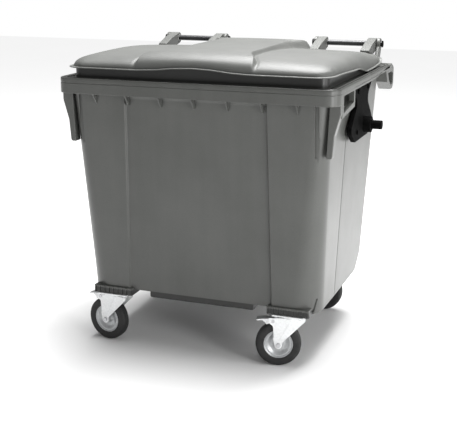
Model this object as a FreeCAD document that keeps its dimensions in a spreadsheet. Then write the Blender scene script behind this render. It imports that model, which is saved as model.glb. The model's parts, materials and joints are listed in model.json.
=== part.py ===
"""Four-wheeled 1100 litre waste container with a flat hinged lid, in millimetres.

+X is the container's right, -Y its front (the side with the comb lip), +Z up.
The origin is on the ground under the middle of the container.
"""
import FreeCAD, Part
import math
import os
import Sketcher

doc = FreeCAD.newDocument("WasteContainer")
Vector = FreeCAD.Vector

# ---------------------------------------------------------------- driving dimensions
DIMENSIONS = [
    ("WheelRadius", 100, "radius of a wheel"),
    ("CasterHead", 38, "height of a caster above its wheel"),
    ("TubHeight", 990, "height of the rim above the caster plates"),
    ("RimWidth", 1260, "width over the rim"),
    ("RimFront", 555, "comb lip's face ahead of the origin"),
    ("RimBack", 509, "rear edge of the rim behind the origin"),
    ("RimThick", 5, "wall of the rim channel"),
    ("RimCorner", 60, "corner radius of the rim in plan"),
    ("LipDrop", 67, "depth of the comb lip at the front"),
    ("BandDrop", 33, "depth of the rim band at the sides"),
    ("RimLedge", 42, "reach of the rim past the side walls"),
    ("FrontLedge", 37, "reach of the comb lip past the front wall"),
    ("BackLedge", 82, "reach of the rim past the rear wall"),
    ("SideTaper", 44.5, "how far each side wall leans in down to its foot"),
    ("FrontTaper", 44, "how far the front wall leans in down to its foot"),
    ("BackTaper", 38, "how far the rear wall leans in down to its foot"),
    ("FootRise", 2, "foot of the side walls above the caster plates"),
    ("FrontFootRise", 26, "foot of the front wall above the caster plates"),
    ("WallCorner", 55, "corner radius of the walls in plan"),
    ("Wall", 6, "thickness of the walls and floor"),
    ("FloorRise", 32, "underside of the floor above the caster plates"),
    ("PanWidth", 500, "width of the lowered middle of the floor"),
    ("PanSetBack", 23, "lowered floor behind the front wall's foot"),
    ("PanBack", 200, "rear of the lowered floor behind the origin"),
    ("PanDrop", 9, "underside of the lowered floor below the caster plates"),
    ("PanelTop", 636, "width of the sunk front panel at its top"),
    ("PanelFoot", 680, "width of the sunk front panel at its foot"),
    ("PanelSink", 8, "depth that the front panel is sunk"),
    ("SlotInset", 53, "corner slot inside the side wall's top"),
    ("SlotWidth", 16, "width of a corner slot"),
    ("SlotDrop", 288, "foot of a corner slot below the rim's top"),
    ("CollarRise", 42, "height above the rim of the collar that carries the lid"),
    ("CornerCutRise", 166, "top of the rear lower corner's slope above the caster plates"),
    ("CornerCutDepth", 182, "length of that slope along the side wall's foot"),
    ("CornerCutInset", 31.5, "width of the cut corner"),
    ("CombPitch", 152, "distance between the gussets behind the comb lip"),
    ("CombThick", 8, "thickness of a comb gusset"),
    ("CombDrop", 138, "depth of a comb gusset below the rim's top"),
    ("HandleSetBack", 79, "side handle behind the comb lip's face"),
    ("HandleLength", 220, "length of a side handle"),
    ("HandleDrop", 126, "depth of a side handle below the rim's top"),
    ("HandleBar", 22, "thickness of a handle's bars"),
    ("RearHandleReach", 46, "reach of a corner handle behind the rim"),
    ("RearHandleLength", 183, "length of a corner handle"),
    ("RearHandleWidth", 60, "width of a corner handle along X"),
    ("BracketThick", 20, "thickness of the trunnion bracket's plate"),
    ("BracketPlace", 18, "middle of the trunnion bracket ahead of the origin"),
    ("BracketWidth", 400, "width of the trunnion bracket's foot along Y"),
    ("BracketNeck", 216, "width of the trunnion bracket's neck along Y"),
    ("BracketDrop", 41, "top of the trunnion bracket below the rim's top"),
    ("BracketHeight", 239, "height of the trunnion bracket"),
    ("PinReach", 46.5, "free length of a trunnion pin past its boss"),
    ("TrunnionRadius", 20, "radius of a trunnion pin"),
    ("TrunnionPlace", 30, "trunnion axis behind the origin"),
    ("TrunnionDrop", 225, "trunnion axis below the rim's top"),
    ("PinShoulder", 2, "shoulder of a trunnion pin against its boss"),
    ("BossWall", 16, "wall of the boss round a trunnion pin"),
    ("BossReach", 34, "reach of that boss past the bracket's plate"),
    ("HingeSetBack", 13, "hinge axis behind the rim's rear edge"),
    ("HingeRise", 89, "hinge axis above the rim's top"),
    ("HubWall", 14.5, "wall of a hinge hub round its tube"),
    ("TubeRadius", 13.5, "outer radius of a hinge tube"),
    ("TubeWall", 2.5, "wall of a hinge tube"),
    ("TubeInner", 228, "inner end of a hinge tube from the middle"),
    ("TubeLength", 344, "length of a hinge tube"),
    ("TubeOverhang", 6, "reach of a hinge tube past its posts"),
    ("CapFlange", 2.5, "reach of a tube cap past the tube's outside"),
    ("PostThick", 16, "thickness of a hinge post"),
    ("BushWall", 2, "wall of a hinge bush"),
    ("ArmThick", 44, "thickness of a lid arm"),
    ("ArmGap", 3, "side gap between a lid arm and its post"),
    ("LidSideInset", 30, "lid's side edge inside the rim's"),
    ("LidFrontInset", 17, "lid's front edge behind the comb lip's face"),
    ("LidBackInset", 37, "lid's rear edge ahead of the rim's rear edge"),
    ("LidThick", 5, "thickness of the lid"),
    ("LidCorner", 60, "corner radius of the lid in plan"),
    ("CrownRise", 50, "top of the lid's side crowns above its underside"),
    ("CrownFoot", 12, "foot of the crowns inside the lid's edge"),
    ("CrownSlope", 54, "width of the slope from that foot up to the crowns' top"),
    ("RidgeRise", 65.7, "top of the lid's raised middle above its underside"),
    ("RidgeFoot", 524, "width of the raised middle at its foot"),
    ("RidgeWidth", 370, "width of the raised middle at its top"),
    ("SkirtRise", 5, "lowest edge of the lid's side skirt above the rim"),
    ("SwivelSideInset", 126.5, "caster swivel axes inside the side walls' feet"),
    ("SwivelFrontInset", 29, "front swivel axes behind the front wall's foot"),
    ("SwivelBackInset", 99, "rear swivel axes ahead of the rear wall's foot"),
    ("BlockLength", 190, "length of a caster block along X"),
    ("BlockDepth", 92, "depth of a caster block along Y"),
    ("PlateLength", 138, "length of a caster plate"),
    ("PlateDepth", 100, "depth of a caster plate"),
    ("PlateThick", 5, "thickness of a caster plate"),
    ("BoltPitchLong", 106, "bolt pitch of a caster plate along X"),
    ("BoltPitchShort", 70, "bolt pitch of a caster plate along Y"),
    ("BoltRadius", 5, "radius of a caster bolt's shank"),
    ("BoltReach", 24, "length of a caster bolt's shank"),
    ("RaceRadius", 38, "radius of a swivel bearing"),
    ("RaceThick", 8, "height of a swivel bearing"),
    ("WheelTrail", 50, "distance of the axle from the swivel axis"),
    ("TyreWidth", 48, "width of a tyre"),
    ("TyreDepth", 36, "depth of a tyre from its tread to the wheel centre"),
    ("AxleRadius", 6, "radius of an axle and of a kingpin"),
    ("WheelBushWall", 4, "wall of a wheel bush"),
    ("ForkThick", 4, "thickness of the fork's sheet"),
    ("ForkLead", 66, "reach of the fork ahead of its swivel axis"),
    ("ForkGap", 4, "side gap between a tyre and the fork"),
    ("ForkLip", 8, "height of the fork's front edge under its crown"),
    ("DiscThick", 5, "thickness of a wheel centre's rim band"),
    ("DiscFlare", 4, "width of the flare from the hub to the web"),
    ("DiscRoll", 8, "width of the bend from the web to the rim band"),
    ("PedalSet", 24, "brake pedal's pivot behind the axle"),
    ("PedalRise", 10, "brake pedal's pivot above the tyre"),
    ("PedalLength", 72, "reach of the brake pedal past its pivot"),
    ("PedalWidth", 40, "width of the brake pedal"),
    ("RivetHead", 3, "height of a brake rivet's heads"),
    ("RunningGap", 0.08, "radial clearance of turning fits"),
    ("SeatGap", 0.3, "clearance between surfaces that move past each other"),
    ("Past", 1, "reach of a cut past the face that it starts from"),
    ("FrontLeftTurn", 170, "heading of the front left caster's trail"),
    ("FrontRightTurn", 196, "heading of the front right caster's trail"),
    ("RearLeftTurn", 172, "heading of the rear left caster's trail"),
    ("RearRightTurn", 176, "heading of the rear right caster's trail"),
    ("PlugRadius", 34, "radius of the drain plug's cap"),
    ("DrainRadius", 20.4, "radius of the drain hole"),
    ("SealInset", 2, "seal's edge inside the plug's cap"),
    ("SealThick", 1.5, "thickness of the drain seal"),
    ("CapThick", 12, "thickness of the drain plug's cap"),
    ("PlugInset", 78.5, "drain axis inside the side wall's foot"),
    ("PlugRise", 84, "drain axis above the caster plates"),
]

# What follows from them, as formulas. They fill a second sheet, Places.
DERIVED = [
    ("PlateTop", "2 * Sizes.WheelRadius + Sizes.CasterHead", "top of the caster plates"),
    ("RimHeight", "PlateTop + Sizes.TubHeight", "top of the rim"),
    ("TopWidth", "Sizes.RimWidth - 2 * Sizes.RimLedge", "width of the tub's walls at the rim"),
    ("TopFront", "Sizes.RimFront - Sizes.FrontLedge", "front wall ahead of the origin, at the rim"),
    ("TopBack", "Sizes.RimBack - Sizes.BackLedge", "rear wall behind the origin, at the rim"),
    ("FootWidth", "TopWidth - 2 * Sizes.SideTaper", "width of the tub's walls at their foot"),
    ("FootFront", "TopFront - Sizes.FrontTaper", "front wall ahead of the origin, at its foot"),
    ("FootBack", "TopBack - Sizes.BackTaper", "rear wall behind the origin, at its foot"),
    ("FootHeight", "PlateTop + Sizes.FootRise", "foot of the side walls"),
    ("FrontFoot", "PlateTop + Sizes.FrontFootRise", "foot of the front wall"),
    ("FloorHeight", "PlateTop + Sizes.FloorRise", "underside of the floor"),
    ("PanFront", "FootFront - Sizes.PanSetBack", "front of the lowered floor"),
    ("PanFoot", "PlateTop - Sizes.PanDrop", "underside of the lowered floor"),
    ("SlotPlace", "TopWidth / 2 - Sizes.SlotInset", "corner slot from the middle"),
    ("SlotFoot", "RimHeight - Sizes.SlotDrop", "foot of a corner slot"),
    ("CollarHeight", "RimHeight + Sizes.CollarRise", "top of the collar"),
    ("CornerCut", "PlateTop + Sizes.CornerCutRise", "top of the rear lower corner's slope"),
    ("CornerCutStart", "FootBack - Sizes.CornerCutDepth", "front end of that slope"),
    ("CornerCutInside", "FootWidth / 2 - Sizes.CornerCutInset", "inner side of the cut corner"),
    ("HandleFront", "Sizes.RimFront - Sizes.HandleSetBack", "front of a side handle"),
    ("HandleBack", "HandleFront - Sizes.HandleLength", "rear of a side handle"),
    ("RearHandle", "Sizes.RimBack + Sizes.RearHandleReach", "rear of the corner handles"),
    ("RearHandleStart", "RearHandle - Sizes.RearHandleLength", "front of the corner handles"),
    ("PadFace", "TopWidth / 2", "face of the trunnion pad from the middle"),
    ("BracketTop", "RimHeight - Sizes.BracketDrop", "top of the trunnion bracket"),
    ("BracketFoot", "BracketTop - Sizes.BracketHeight", "foot of the trunnion bracket"),
    ("TrunnionHeight", "RimHeight - Sizes.TrunnionDrop", "trunnion axis"),
    ("PinShank", "Sizes.TrunnionRadius - Sizes.PinShoulder", "radius of a trunnion pin inside its boss"),
    ("TrunnionBoss", "Sizes.TrunnionRadius + Sizes.BossWall", "radius of the boss round a trunnion pin"),
    ("BossFace", "PadFace + Sizes.BracketThick + Sizes.BossReach", "face of that boss from the middle"),
    ("TrunnionSpan", "2 * (BossFace + Sizes.PinReach)", "width over the two trunnion pins"),
    ("HingePlace", "Sizes.RimBack + Sizes.HingeSetBack", "hinge axis behind the origin"),
    ("HingeHeight", "RimHeight + Sizes.HingeRise", "hinge axis above the ground"),
    ("HingeHub", "Sizes.TubeRadius + Sizes.HubWall", "radius of the hinge hubs"),
    ("TubeBore", "Sizes.TubeRadius - Sizes.TubeWall", "inner radius of a hinge tube"),
    ("TubeOuter", "Sizes.TubeInner + Sizes.TubeLength", "outer end of a hinge tube"),
    ("PostInner", "Sizes.TubeInner + Sizes.TubeOverhang", "inner face of the inner hinge post"),
    ("PostOuter", "TubeOuter - Sizes.TubeOverhang", "outer face of the outer hinge post"),
    ("LidWidth", "Sizes.RimWidth - 2 * Sizes.LidSideInset", "width of the lid"),
    ("LidFront", "Sizes.RimFront - Sizes.LidFrontInset", "front edge of the lid"),
    ("LidBack", "Sizes.RimBack - Sizes.LidBackInset", "rear edge of the lid"),
    ("LidHeight", "CollarHeight + Sizes.SeatGap", "underside of the lid's flange"),
    ("CrownTop", "LidHeight + Sizes.CrownRise", "top of the lid's side crowns"),
    ("RidgeTop", "LidHeight + Sizes.RidgeRise", "top of the lid's raised middle"),
    ("SkirtFoot", "RimHeight + Sizes.SkirtRise", "lowest edge of the lid's side skirt"),
    ("SwivelSide", "FootWidth / 2 - Sizes.SwivelSideInset", "swivel axes from the middle"),
    ("SwivelFront", "FootFront - Sizes.SwivelFrontInset", "front swivel axes ahead of the origin"),
    ("SwivelBack", "FootBack - Sizes.SwivelBackInset", "rear swivel axes behind the origin"),
    ("TyreBore", "Sizes.WheelRadius - Sizes.TyreDepth", "radius of the wheel centre inside the tyre"),
    ("BushRadius", "Sizes.AxleRadius + Sizes.WheelBushWall", "outer radius of a wheel bush"),
    ("PlugPlace", "FootWidth / 2 - Sizes.PlugInset", "drain axis from the middle"),
    ("PlugHeight", "PlateTop + Sizes.PlugRise", "drain axis above the ground"),
    ("SealReach", "Sizes.PlugRadius - Sizes.SealInset", "outer radius of the drain seal"),
    ("BackLean", "Sizes.BackTaper / (RimHeight - FootHeight)",
     "lean of the rear wall for each unit of height"),
    ("DrainFace", "FootBack + BackLean * (PlugHeight - FootHeight)", "rear wall at the drain's axis"),
    ("SealFace", "DrainFace + BackLean * SealReach + Sizes.SeatGap", "drain seal's face toward the wall"),
    ("PlugSeat", "SealFace + Sizes.SealThick", "drain plug's face toward the seal"),
]



def fill(sheet, rows):
    """Write (alias, content, meaning) rows to a sheet."""
    for row, (alias, content, meaning) in enumerate(rows, start=1):
        sheet.set("A%d" % row, meaning)
        sheet.set("B%d" % row, content)
        sheet.setAlias("B%d" % row, alias)
    doc.recompute()


sizes = doc.addObject("Spreadsheet::Sheet", "Sizes")
fill(sizes, [(alias, str(value), meaning) for alias, value, meaning in DIMENSIONS])
places = doc.addObject("Spreadsheet::Sheet", "Places")
fill(places, [(alias, "=" + formula, meaning) for alias, formula, meaning in DERIVED])


def value_of(formula):
    """Number that a formula over the sheets gives now."""
    return float(sizes.evalExpression(formula))


# ---------------------------------------------------------------- building blocks
# Sizes and places below are formulas over the two sheets: text such as "Sizes.Wall * 2".
PLANES = {
    "XY": FreeCAD.Rotation(),
    "XZ": FreeCAD.Rotation(Vector(1, 0, 0), 90),
    "YZ": FreeCAD.Rotation(Vector(1, 1, 1), 120),
}
AXES = {
    "X": FreeCAD.Rotation(Vector(0, 1, 0), 90),
    "Y": FreeCAD.Rotation(Vector(1, 0, 0), -90),
    "Z": FreeCAD.Rotation(),
}
count = {}


def fresh(name):
    """Object name that isn't taken yet."""
    count[name] = count.get(name, 0) + 1
    return "%s_%d" % (name, count[name])


def place(item, x="0", y="0", z="0", rotation=None):
    """Bind an object's position to formulas."""
    if rotation is not None:
        item.Placement = FreeCAD.Placement(Vector(), rotation)
    for axis, formula in (("x", x), ("y", y), ("z", z)):
        item.setExpression("Placement.Base." + axis, formula)
    return item


def box(x, y, z):
    """Block between three pairs of formulas, (low, high)."""
    block = doc.addObject("Part::Box", fresh("Block"))
    for size, (low, high) in (("Length", x), ("Width", y), ("Height", z)):
        block.setExpression(size, "(%s) - (%s)" % (high, low))
    return place(block, x[0], y[0], z[0])


def rod(axis, radius, low, high, x="0", y="0", z="0"):
    """Cylinder along an axis, from low to high, with its centre line through the point."""
    cylinder = doc.addObject("Part::Cylinder", fresh("Rod"))
    cylinder.setExpression("Radius", radius)
    cylinder.setExpression("Height", "(%s) - (%s)" % (high, low))
    spot = {"x": x, "y": y, "z": z}
    spot[axis.lower()] = low
    return place(cylinder, spot["x"], spot["y"], spot["z"], AXES[axis])


def hexagon(axis, radius, low, high, x="0", y="0", z="0"):
    """Hexagonal head or nut along an axis, from low to high."""
    prism = doc.addObject("Part::Prism", fresh("Hexagon"))
    prism.Polygon = 6
    prism.setExpression("Circumradius", radius)
    prism.setExpression("Height", "(%s) - (%s)" % (high, low))
    spot = {"x": x, "y": y, "z": z}
    spot[axis.lower()] = low
    return place(prism, spot["x"], spot["y"], spot["z"], AXES[axis])


def wedge(low, high, foot, top):
    """Tapered block from height low to high; foot and top are (left, right, front, back)."""
    block = doc.addObject("Part::Wedge", fresh("Taper"))
    block.setExpression("Ymin", low)
    block.setExpression("Ymax", high)
    for number, (left, right, front, back) in (("", foot), ("2", top)):
        block.setExpression("X%smin" % number, left)
        block.setExpression("X%smax" % number, right)
        block.setExpression("Z%smin" % number, "-(%s)" % back)
        block.setExpression("Z%smax" % number, "-(%s)" % front)
    block.Placement = FreeCAD.Placement(Vector(), PLANES["XZ"])
    return block


def outline(plane, level, corners):
    """Closed sketch of straight edges on a plane; each corner is a pair of formulas."""
    sketch = doc.addObject("Sketcher::SketchObject", fresh("Outline"))
    normal = {"XY": "z", "XZ": "y", "YZ": "x"}[plane]
    place(sketch, rotation=PLANES[plane], **{normal: level})
    points = [Vector(value_of(u), value_of(v), 0) for u, v in corners]
    for index, point in enumerate(points):
        sketch.addGeometry(Part.LineSegment(point, points[(index + 1) % len(points)]))
    for index, (u, v) in enumerate(corners):
        following = (index + 1) % len(corners)
        sketch.addConstraint(Sketcher.Constraint("Coincident", index, 2, following, 1))
        for kind, formula in (("DistanceX", u), ("DistanceY", v)):
            rule = Sketcher.Constraint(kind, -1, 1, index, 1, value_of(formula))
            number = sketch.addConstraint(rule)
            sketch.setExpression("Constraints[%d]" % number, formula)
    return sketch


def rounded(level, left, right, front, back, radius):
    """Closed sketch of a rectangle with rounded corners, at a height."""
    sketch = doc.addObject("Sketcher::SketchObject", fresh("Rounded"))
    place(sketch, z=level)
    x0, x1, y0, y1, r = (value_of(f) for f in (left, right, front, back, radius))
    quarter = math.pi / 2
    lines = [
        ((x0 + r, y0), (x1 - r, y0)), ((x1, y0 + r), (x1, y1 - r)),
        ((x1 - r, y1), (x0 + r, y1)), ((x0, y1 - r), (x0, y0 + r)),
    ]
    centres = [(x1 - r, y0 + r, 3), (x1 - r, y1 - r, 0), (x0 + r, y1 - r, 1), (x0 + r, y0 + r, 2)]
    for (start, end), (cx, cy, turn) in zip(lines, centres):
        sketch.addGeometry(Part.LineSegment(Vector(*start, 0), Vector(*end, 0)))
        circle = Part.Circle(Vector(cx, cy, 0), Vector(0, 0, 1), r)
        sketch.addGeometry(Part.ArcOfCircle(circle, turn * quarter, (turn + 1) * quarter))
    for side in range(4):
        line, arc = 2 * side, 2 * side + 1
        sketch.addConstraint(Sketcher.Constraint("Tangent", line, 2, arc, 1))
        sketch.addConstraint(Sketcher.Constraint("Tangent", arc, 2, (arc + 1) % 8, 1))
        if side:
            sketch.addConstraint(Sketcher.Constraint("Equal", 1, arc))
    sketch.addConstraint(Sketcher.Constraint("Horizontal", 0))
    sketch.addConstraint(Sketcher.Constraint("Vertical", 2))
    sketch.addConstraint(Sketcher.Constraint("Horizontal", 4))
    sketch.addConstraint(Sketcher.Constraint("Vertical", 6))
    rules = [
        (Sketcher.Constraint("DistanceY", -1, 1, 0, 1, y0), front),
        (Sketcher.Constraint("DistanceX", -1, 1, 2, 1, x1), right),
        (Sketcher.Constraint("DistanceY", -1, 1, 4, 1, y1), back),
        (Sketcher.Constraint("DistanceX", -1, 1, 6, 1, x0), left),
        (Sketcher.Constraint("Radius", 1, r), radius),
    ]
    for rule, formula in rules:
        number = sketch.addConstraint(rule)
        sketch.setExpression("Constraints[%d]" % number, formula)
    return sketch


def extrude(sketch, length):
    """Solid that stands on a sketch, along its normal."""
    solid = doc.addObject("Part::Extrusion", fresh("Extrusion"))
    solid.Base = sketch
    solid.DirMode = "Normal"
    solid.Solid = True
    solid.setExpression("LengthFwd", length)
    return solid


def slab(plane, low, high, corners):
    """Prism with a straight-edged outline, from low to high along the plane's normal."""
    start = high if plane == "XZ" else low
    return extrude(outline(plane, start, corners), "(%s) - (%s)" % (high, low))


def loft(*sections):
    """Straight-sided solid through closed sketches."""
    solid = doc.addObject("Part::Loft", fresh("Loft"))
    solid.Sections = list(sections)
    solid.Solid = True
    solid.Ruled = True
    return solid


def turned(corners):
    """Ring turned round the Y axis from an outline of (radius, y) pairs."""
    profile = outline("XY", "0", corners)
    ring = doc.addObject("Part::Revolution", fresh("Turned"))
    ring.Source = profile
    ring.Axis = Vector(0, 1, 0)
    ring.Base = Vector()
    ring.Angle = 360
    ring.Solid = True
    return ring


def fuse(*items):
    """Union of solids."""
    union = doc.addObject("Part::MultiFuse", fresh("Union"))
    union.Shapes = list(items)
    union.Refine = True
    return union


def cut(base, *tools):
    """Base with the tools taken away."""
    result = doc.addObject("Part::Cut", fresh("Cut"))
    result.Base = base
    result.Tool = tools[0] if len(tools) == 1 else fuse(*tools)
    return result


def mirrored(item):
    """Copy of a solid on the other side of the middle plane."""
    twin = doc.addObject("Part::Mirroring", fresh("Mirror"))
    twin.Source = item
    twin.Normal = Vector(1, 0, 0)
    twin.Base = Vector()
    return twin


def pair(item):
    """A solid and its mirror image."""
    return [item, mirrored(item)]


nodes = {}


def node(name, item):
    """Name a finished sub-part; the name is its file's name."""
    item.Label = name
    nodes[name] = item
    return item


def half(size):
    """Formulas for minus and plus half a size."""
    return "-Sizes.%s / 2" % size, "Sizes.%s / 2" % size


def wall_share(height):
    """How far up the walls a height lies, from 0 at their foot to 1 at the rim."""
    return "((%s) - Places.FootHeight) / (Places.RimHeight - Places.FootHeight)" % height


def wall_side(height, inset="0"):
    """X of the right wall's outer face at a height."""
    return "(Places.FootWidth + (Places.TopWidth - Places.FootWidth) * %s) / 2 - (%s)" % (
        wall_share(height), inset)


def wall_front(height, inset="0"):
    """Y of the front wall's outer face at a height."""
    return "-(Places.FootFront + (Places.TopFront - Places.FootFront) * %s) + (%s)" % (
        wall_share(height), inset)


def wall_back(height, inset="0"):
    """Y of the rear wall's outer face at a height."""
    return "Places.FootBack + (Places.TopBack - Places.FootBack) * %s - (%s)" % (
        wall_share(height), inset)


def tub_loft(low, high, inset="0", front_inset=None):
    """Solid inside the walls' outer faces, moved in by inset, between two heights."""
    sections = []
    for height in (low, high):
        side = wall_side(height, inset)
        sections.append(rounded(
            height, "-(%s)" % side, side, wall_front(height, front_inset or inset),
            wall_back(height, inset), "Sizes.WallCorner - (%s)" % inset))
    return loft(*sections)


# ---------------------------------------------------------------- tub
RIM_UNDER = "Places.RimHeight - Sizes.RimThick"
INNER_FLOOR = "Places.FloorHeight + Sizes.Wall"
FRONT_INSET = "Sizes.Wall + Sizes.PanelSink"
RIM_SIDE = "Sizes.RimWidth / 2"


def corner_cut(inside, allowance):
    """Prism that slopes a rear lower corner of the tub, on the right."""
    run = "(Places.FootBack - Places.CornerCutStart)"
    far = "Sizes.RimBack"
    rise = "(Places.CornerCut - Places.FootHeight) * (%s - Places.CornerCutStart) / %s" % (far, run)
    below = "Places.FootHeight - Sizes.Wall * 2"
    corners = [
        ("Places.CornerCutStart - (%s)" % allowance, below),
        (far, below),
        (far, "Places.FootHeight + %s + (%s)" % (rise, allowance)),
        ("Places.CornerCutStart - (%s)" % allowance, "Places.FootHeight + (%s) / 2" % allowance),
    ]
    return slab("YZ", inside, RIM_SIDE, corners)


def tub_shell():
    """Outer shape of the walls, the room inside them and the hollow under the floor."""
    outer = tub_loft("Places.FootHeight", "Places.RimHeight")
    panel = wedge(
        "Places.FootHeight - Sizes.Wall", "Places.RimHeight - Sizes.LipDrop",
        ("-Sizes.PanelFoot / 2", "Sizes.PanelFoot / 2",
         wall_front("Places.FootHeight - Sizes.Wall", "-Sizes.PanelSink"),
         wall_front("Places.FootHeight - Sizes.Wall", "Sizes.PanelSink")),
        ("-Sizes.PanelTop / 2", "Sizes.PanelTop / 2",
         wall_front("Places.RimHeight - Sizes.LipDrop", "-Sizes.PanelSink"),
         wall_front("Places.RimHeight - Sizes.LipDrop", "Sizes.PanelSink")))
    slot_sides = ("Places.SlotPlace - Sizes.SlotWidth / 2", "Places.SlotPlace + Sizes.SlotWidth / 2")
    slot = wedge(
        "Places.SlotFoot", "Places.RimHeight - Sizes.LipDrop",
        slot_sides + (wall_front("Places.SlotFoot", "-Sizes.PanelSink"),
                      wall_front("Places.SlotFoot", "Sizes.PanelSink")),
        slot_sides + (wall_front("Places.RimHeight - Sizes.LipDrop", "-Sizes.PanelSink"),
                      wall_front("Places.RimHeight - Sizes.LipDrop", "Sizes.PanelSink")))
    front_foot = box(half("RimWidth"), ("-Sizes.RimFront", "-Places.FootFront + Sizes.WallCorner"),
                     ("Places.FootHeight - Sizes.Wall", "Places.FrontFoot"))
    under = tub_loft("Places.FootHeight - Sizes.Wall", "Places.FloorHeight", "Sizes.Wall", FRONT_INSET)
    cuts = pair(corner_cut("Places.CornerCutInside", "0"))
    hull = cut(outer, panel, *pair(slot), front_foot, *cuts)
    room = tub_loft(INNER_FLOOR, "Places.RimHeight + Sizes.Wall", "Sizes.Wall", FRONT_INSET)
    guards = pair(corner_cut("Places.CornerCutInside - Sizes.Wall", "Sizes.Wall * 1.5"))
    return hull, cut(room, *guards), cut(under, *guards)


def pan():
    """Lowered middle of the floor: its outer block and its inner hollow."""
    outer = box(half("PanWidth"), ("-Places.PanFront", "Sizes.PanBack"),
                ("Places.PanFoot", "Places.FloorHeight + Sizes.Wall / 2"))
    inner = box(("-Sizes.PanWidth / 2 + Sizes.Wall", "Sizes.PanWidth / 2 - Sizes.Wall"),
                ("-Places.PanFront + Sizes.Wall", "Sizes.PanBack - Sizes.Wall"),
                ("Places.PanFoot + Sizes.Wall", "Places.FloorHeight + Sizes.Wall * 2"))
    return outer, inner


def rim():
    """Channel round the mouth: deep comb lip in front, narrow band at the sides and back."""
    def ring(low, high, inset):
        side = "Sizes.RimWidth / 2 - (%s)" % inset
        return loft(*[rounded(level, "-(%s)" % side, side, "-Sizes.RimFront + (%s)" % inset,
                              "Sizes.RimBack - (%s)" % inset, "Sizes.RimCorner - (%s)" % inset)
                      for level in (low, high)])

    lip_foot = "Places.RimHeight - Sizes.LipDrop"
    channel = cut(ring(lip_foot, "Places.RimHeight", "0"),
                  ring("%s - Sizes.RimThick" % lip_foot, RIM_UNDER, "Sizes.RimThick"))
    relief = box(half("RimWidth"), ("-Sizes.RimFront + Sizes.RimCorner", "Sizes.RimBack"),
                 ("%s - Sizes.RimThick" % lip_foot, "Places.RimHeight - Sizes.BandDrop"))
    return cut(channel, relief)


def collar():
    """Upstand round the mouth that carries the lid."""
    side = "Places.TopWidth / 2"
    return loft(*[rounded(level, "-" + side, side, "-Places.TopFront", "Places.TopBack",
                          "Sizes.WallCorner") for level in (RIM_UNDER, "Places.CollarHeight")])


def mouth():
    """Opening through the rim and collar."""
    side = "Places.TopWidth / 2 - Sizes.Wall"
    return loft(*[rounded(level, "-(%s)" % side, side, "-Places.TopFront + %s" % FRONT_INSET,
                          "Places.TopBack - Sizes.Wall", "Sizes.WallCorner - Sizes.Wall")
                  for level in (RIM_UNDER, "Places.CollarHeight + Sizes.Wall")])


def comb_gussets():
    """Seven thin triangles that stiffen the comb lip."""
    gussets = []
    for step in range(-3, 4):
        middle = "%d * Sizes.CombPitch" % step
        foot = "Places.RimHeight - Sizes.CombDrop"
        corners = [
            ("-Sizes.RimFront + Sizes.RimThick / 2", RIM_UNDER),
            ("-Sizes.RimFront + Sizes.RimThick / 2", "Places.RimHeight - Sizes.LipDrop"),
            (wall_front(foot), foot),
            (wall_front(foot, "Sizes.PanelSink + Sizes.Wall / 2"), foot),
            (wall_front(RIM_UNDER, "Sizes.PanelSink + Sizes.Wall / 2"), RIM_UNDER),
        ]
        gussets.append(slab("YZ", middle + " - Sizes.CombThick / 2",
                            middle + " + Sizes.CombThick / 2", corners))
    return gussets


def side_handle():
    """D-shaped lifting handle under the rim near the front, on the right."""
    foot = "Places.RimHeight - Sizes.HandleDrop"
    bar = "Sizes.HandleBar"
    front, back = "-Places.HandleFront", "-Places.HandleBack"
    outer = slab("YZ", RIM_SIDE + " - " + bar, RIM_SIDE, [
        (front, foot), (back, "%s + %s" % (foot, bar)), (back, RIM_UNDER), (front, RIM_UNDER)])
    inner = slab("YZ", RIM_SIDE + " - %s * 2" % bar, RIM_SIDE + " + " + bar, [
        ("%s + %s" % (front, bar), "%s + %s" % (foot, bar)),
        ("%s - %s" % (back, bar), "%s + %s * 2" % (foot, bar)),
        ("%s - %s" % (back, bar), "Places.RimHeight - Sizes.BandDrop"),
        ("%s + %s" % (front, bar), "Places.RimHeight - Sizes.BandDrop")])
    loop = cut(outer, inner)
    pillar = slab("XZ", "%s - %s" % (front, bar), "%s + %s" % (front, bar), [
        (wall_side("Places.SlotFoot", "Sizes.Wall / 2"), "Places.SlotFoot"),
        (wall_side("Places.SlotFoot", "-%s" % bar), "Places.SlotFoot"),
        (wall_side(foot, "-%s" % bar), foot + " - 3 * " + bar),
        (RIM_SIDE, foot + " + " + bar),
        (RIM_SIDE, RIM_UNDER),
        (wall_side(RIM_UNDER, "Sizes.Wall / 2"), RIM_UNDER)])
    web = box((wall_side(foot, "Sizes.Wall / 2"), RIM_SIDE + " - " + bar + " / 2"),
              (back + " - Sizes.Wall", back), (foot + " + " + bar, RIM_UNDER))
    return fuse(loop, pillar, web)


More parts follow.
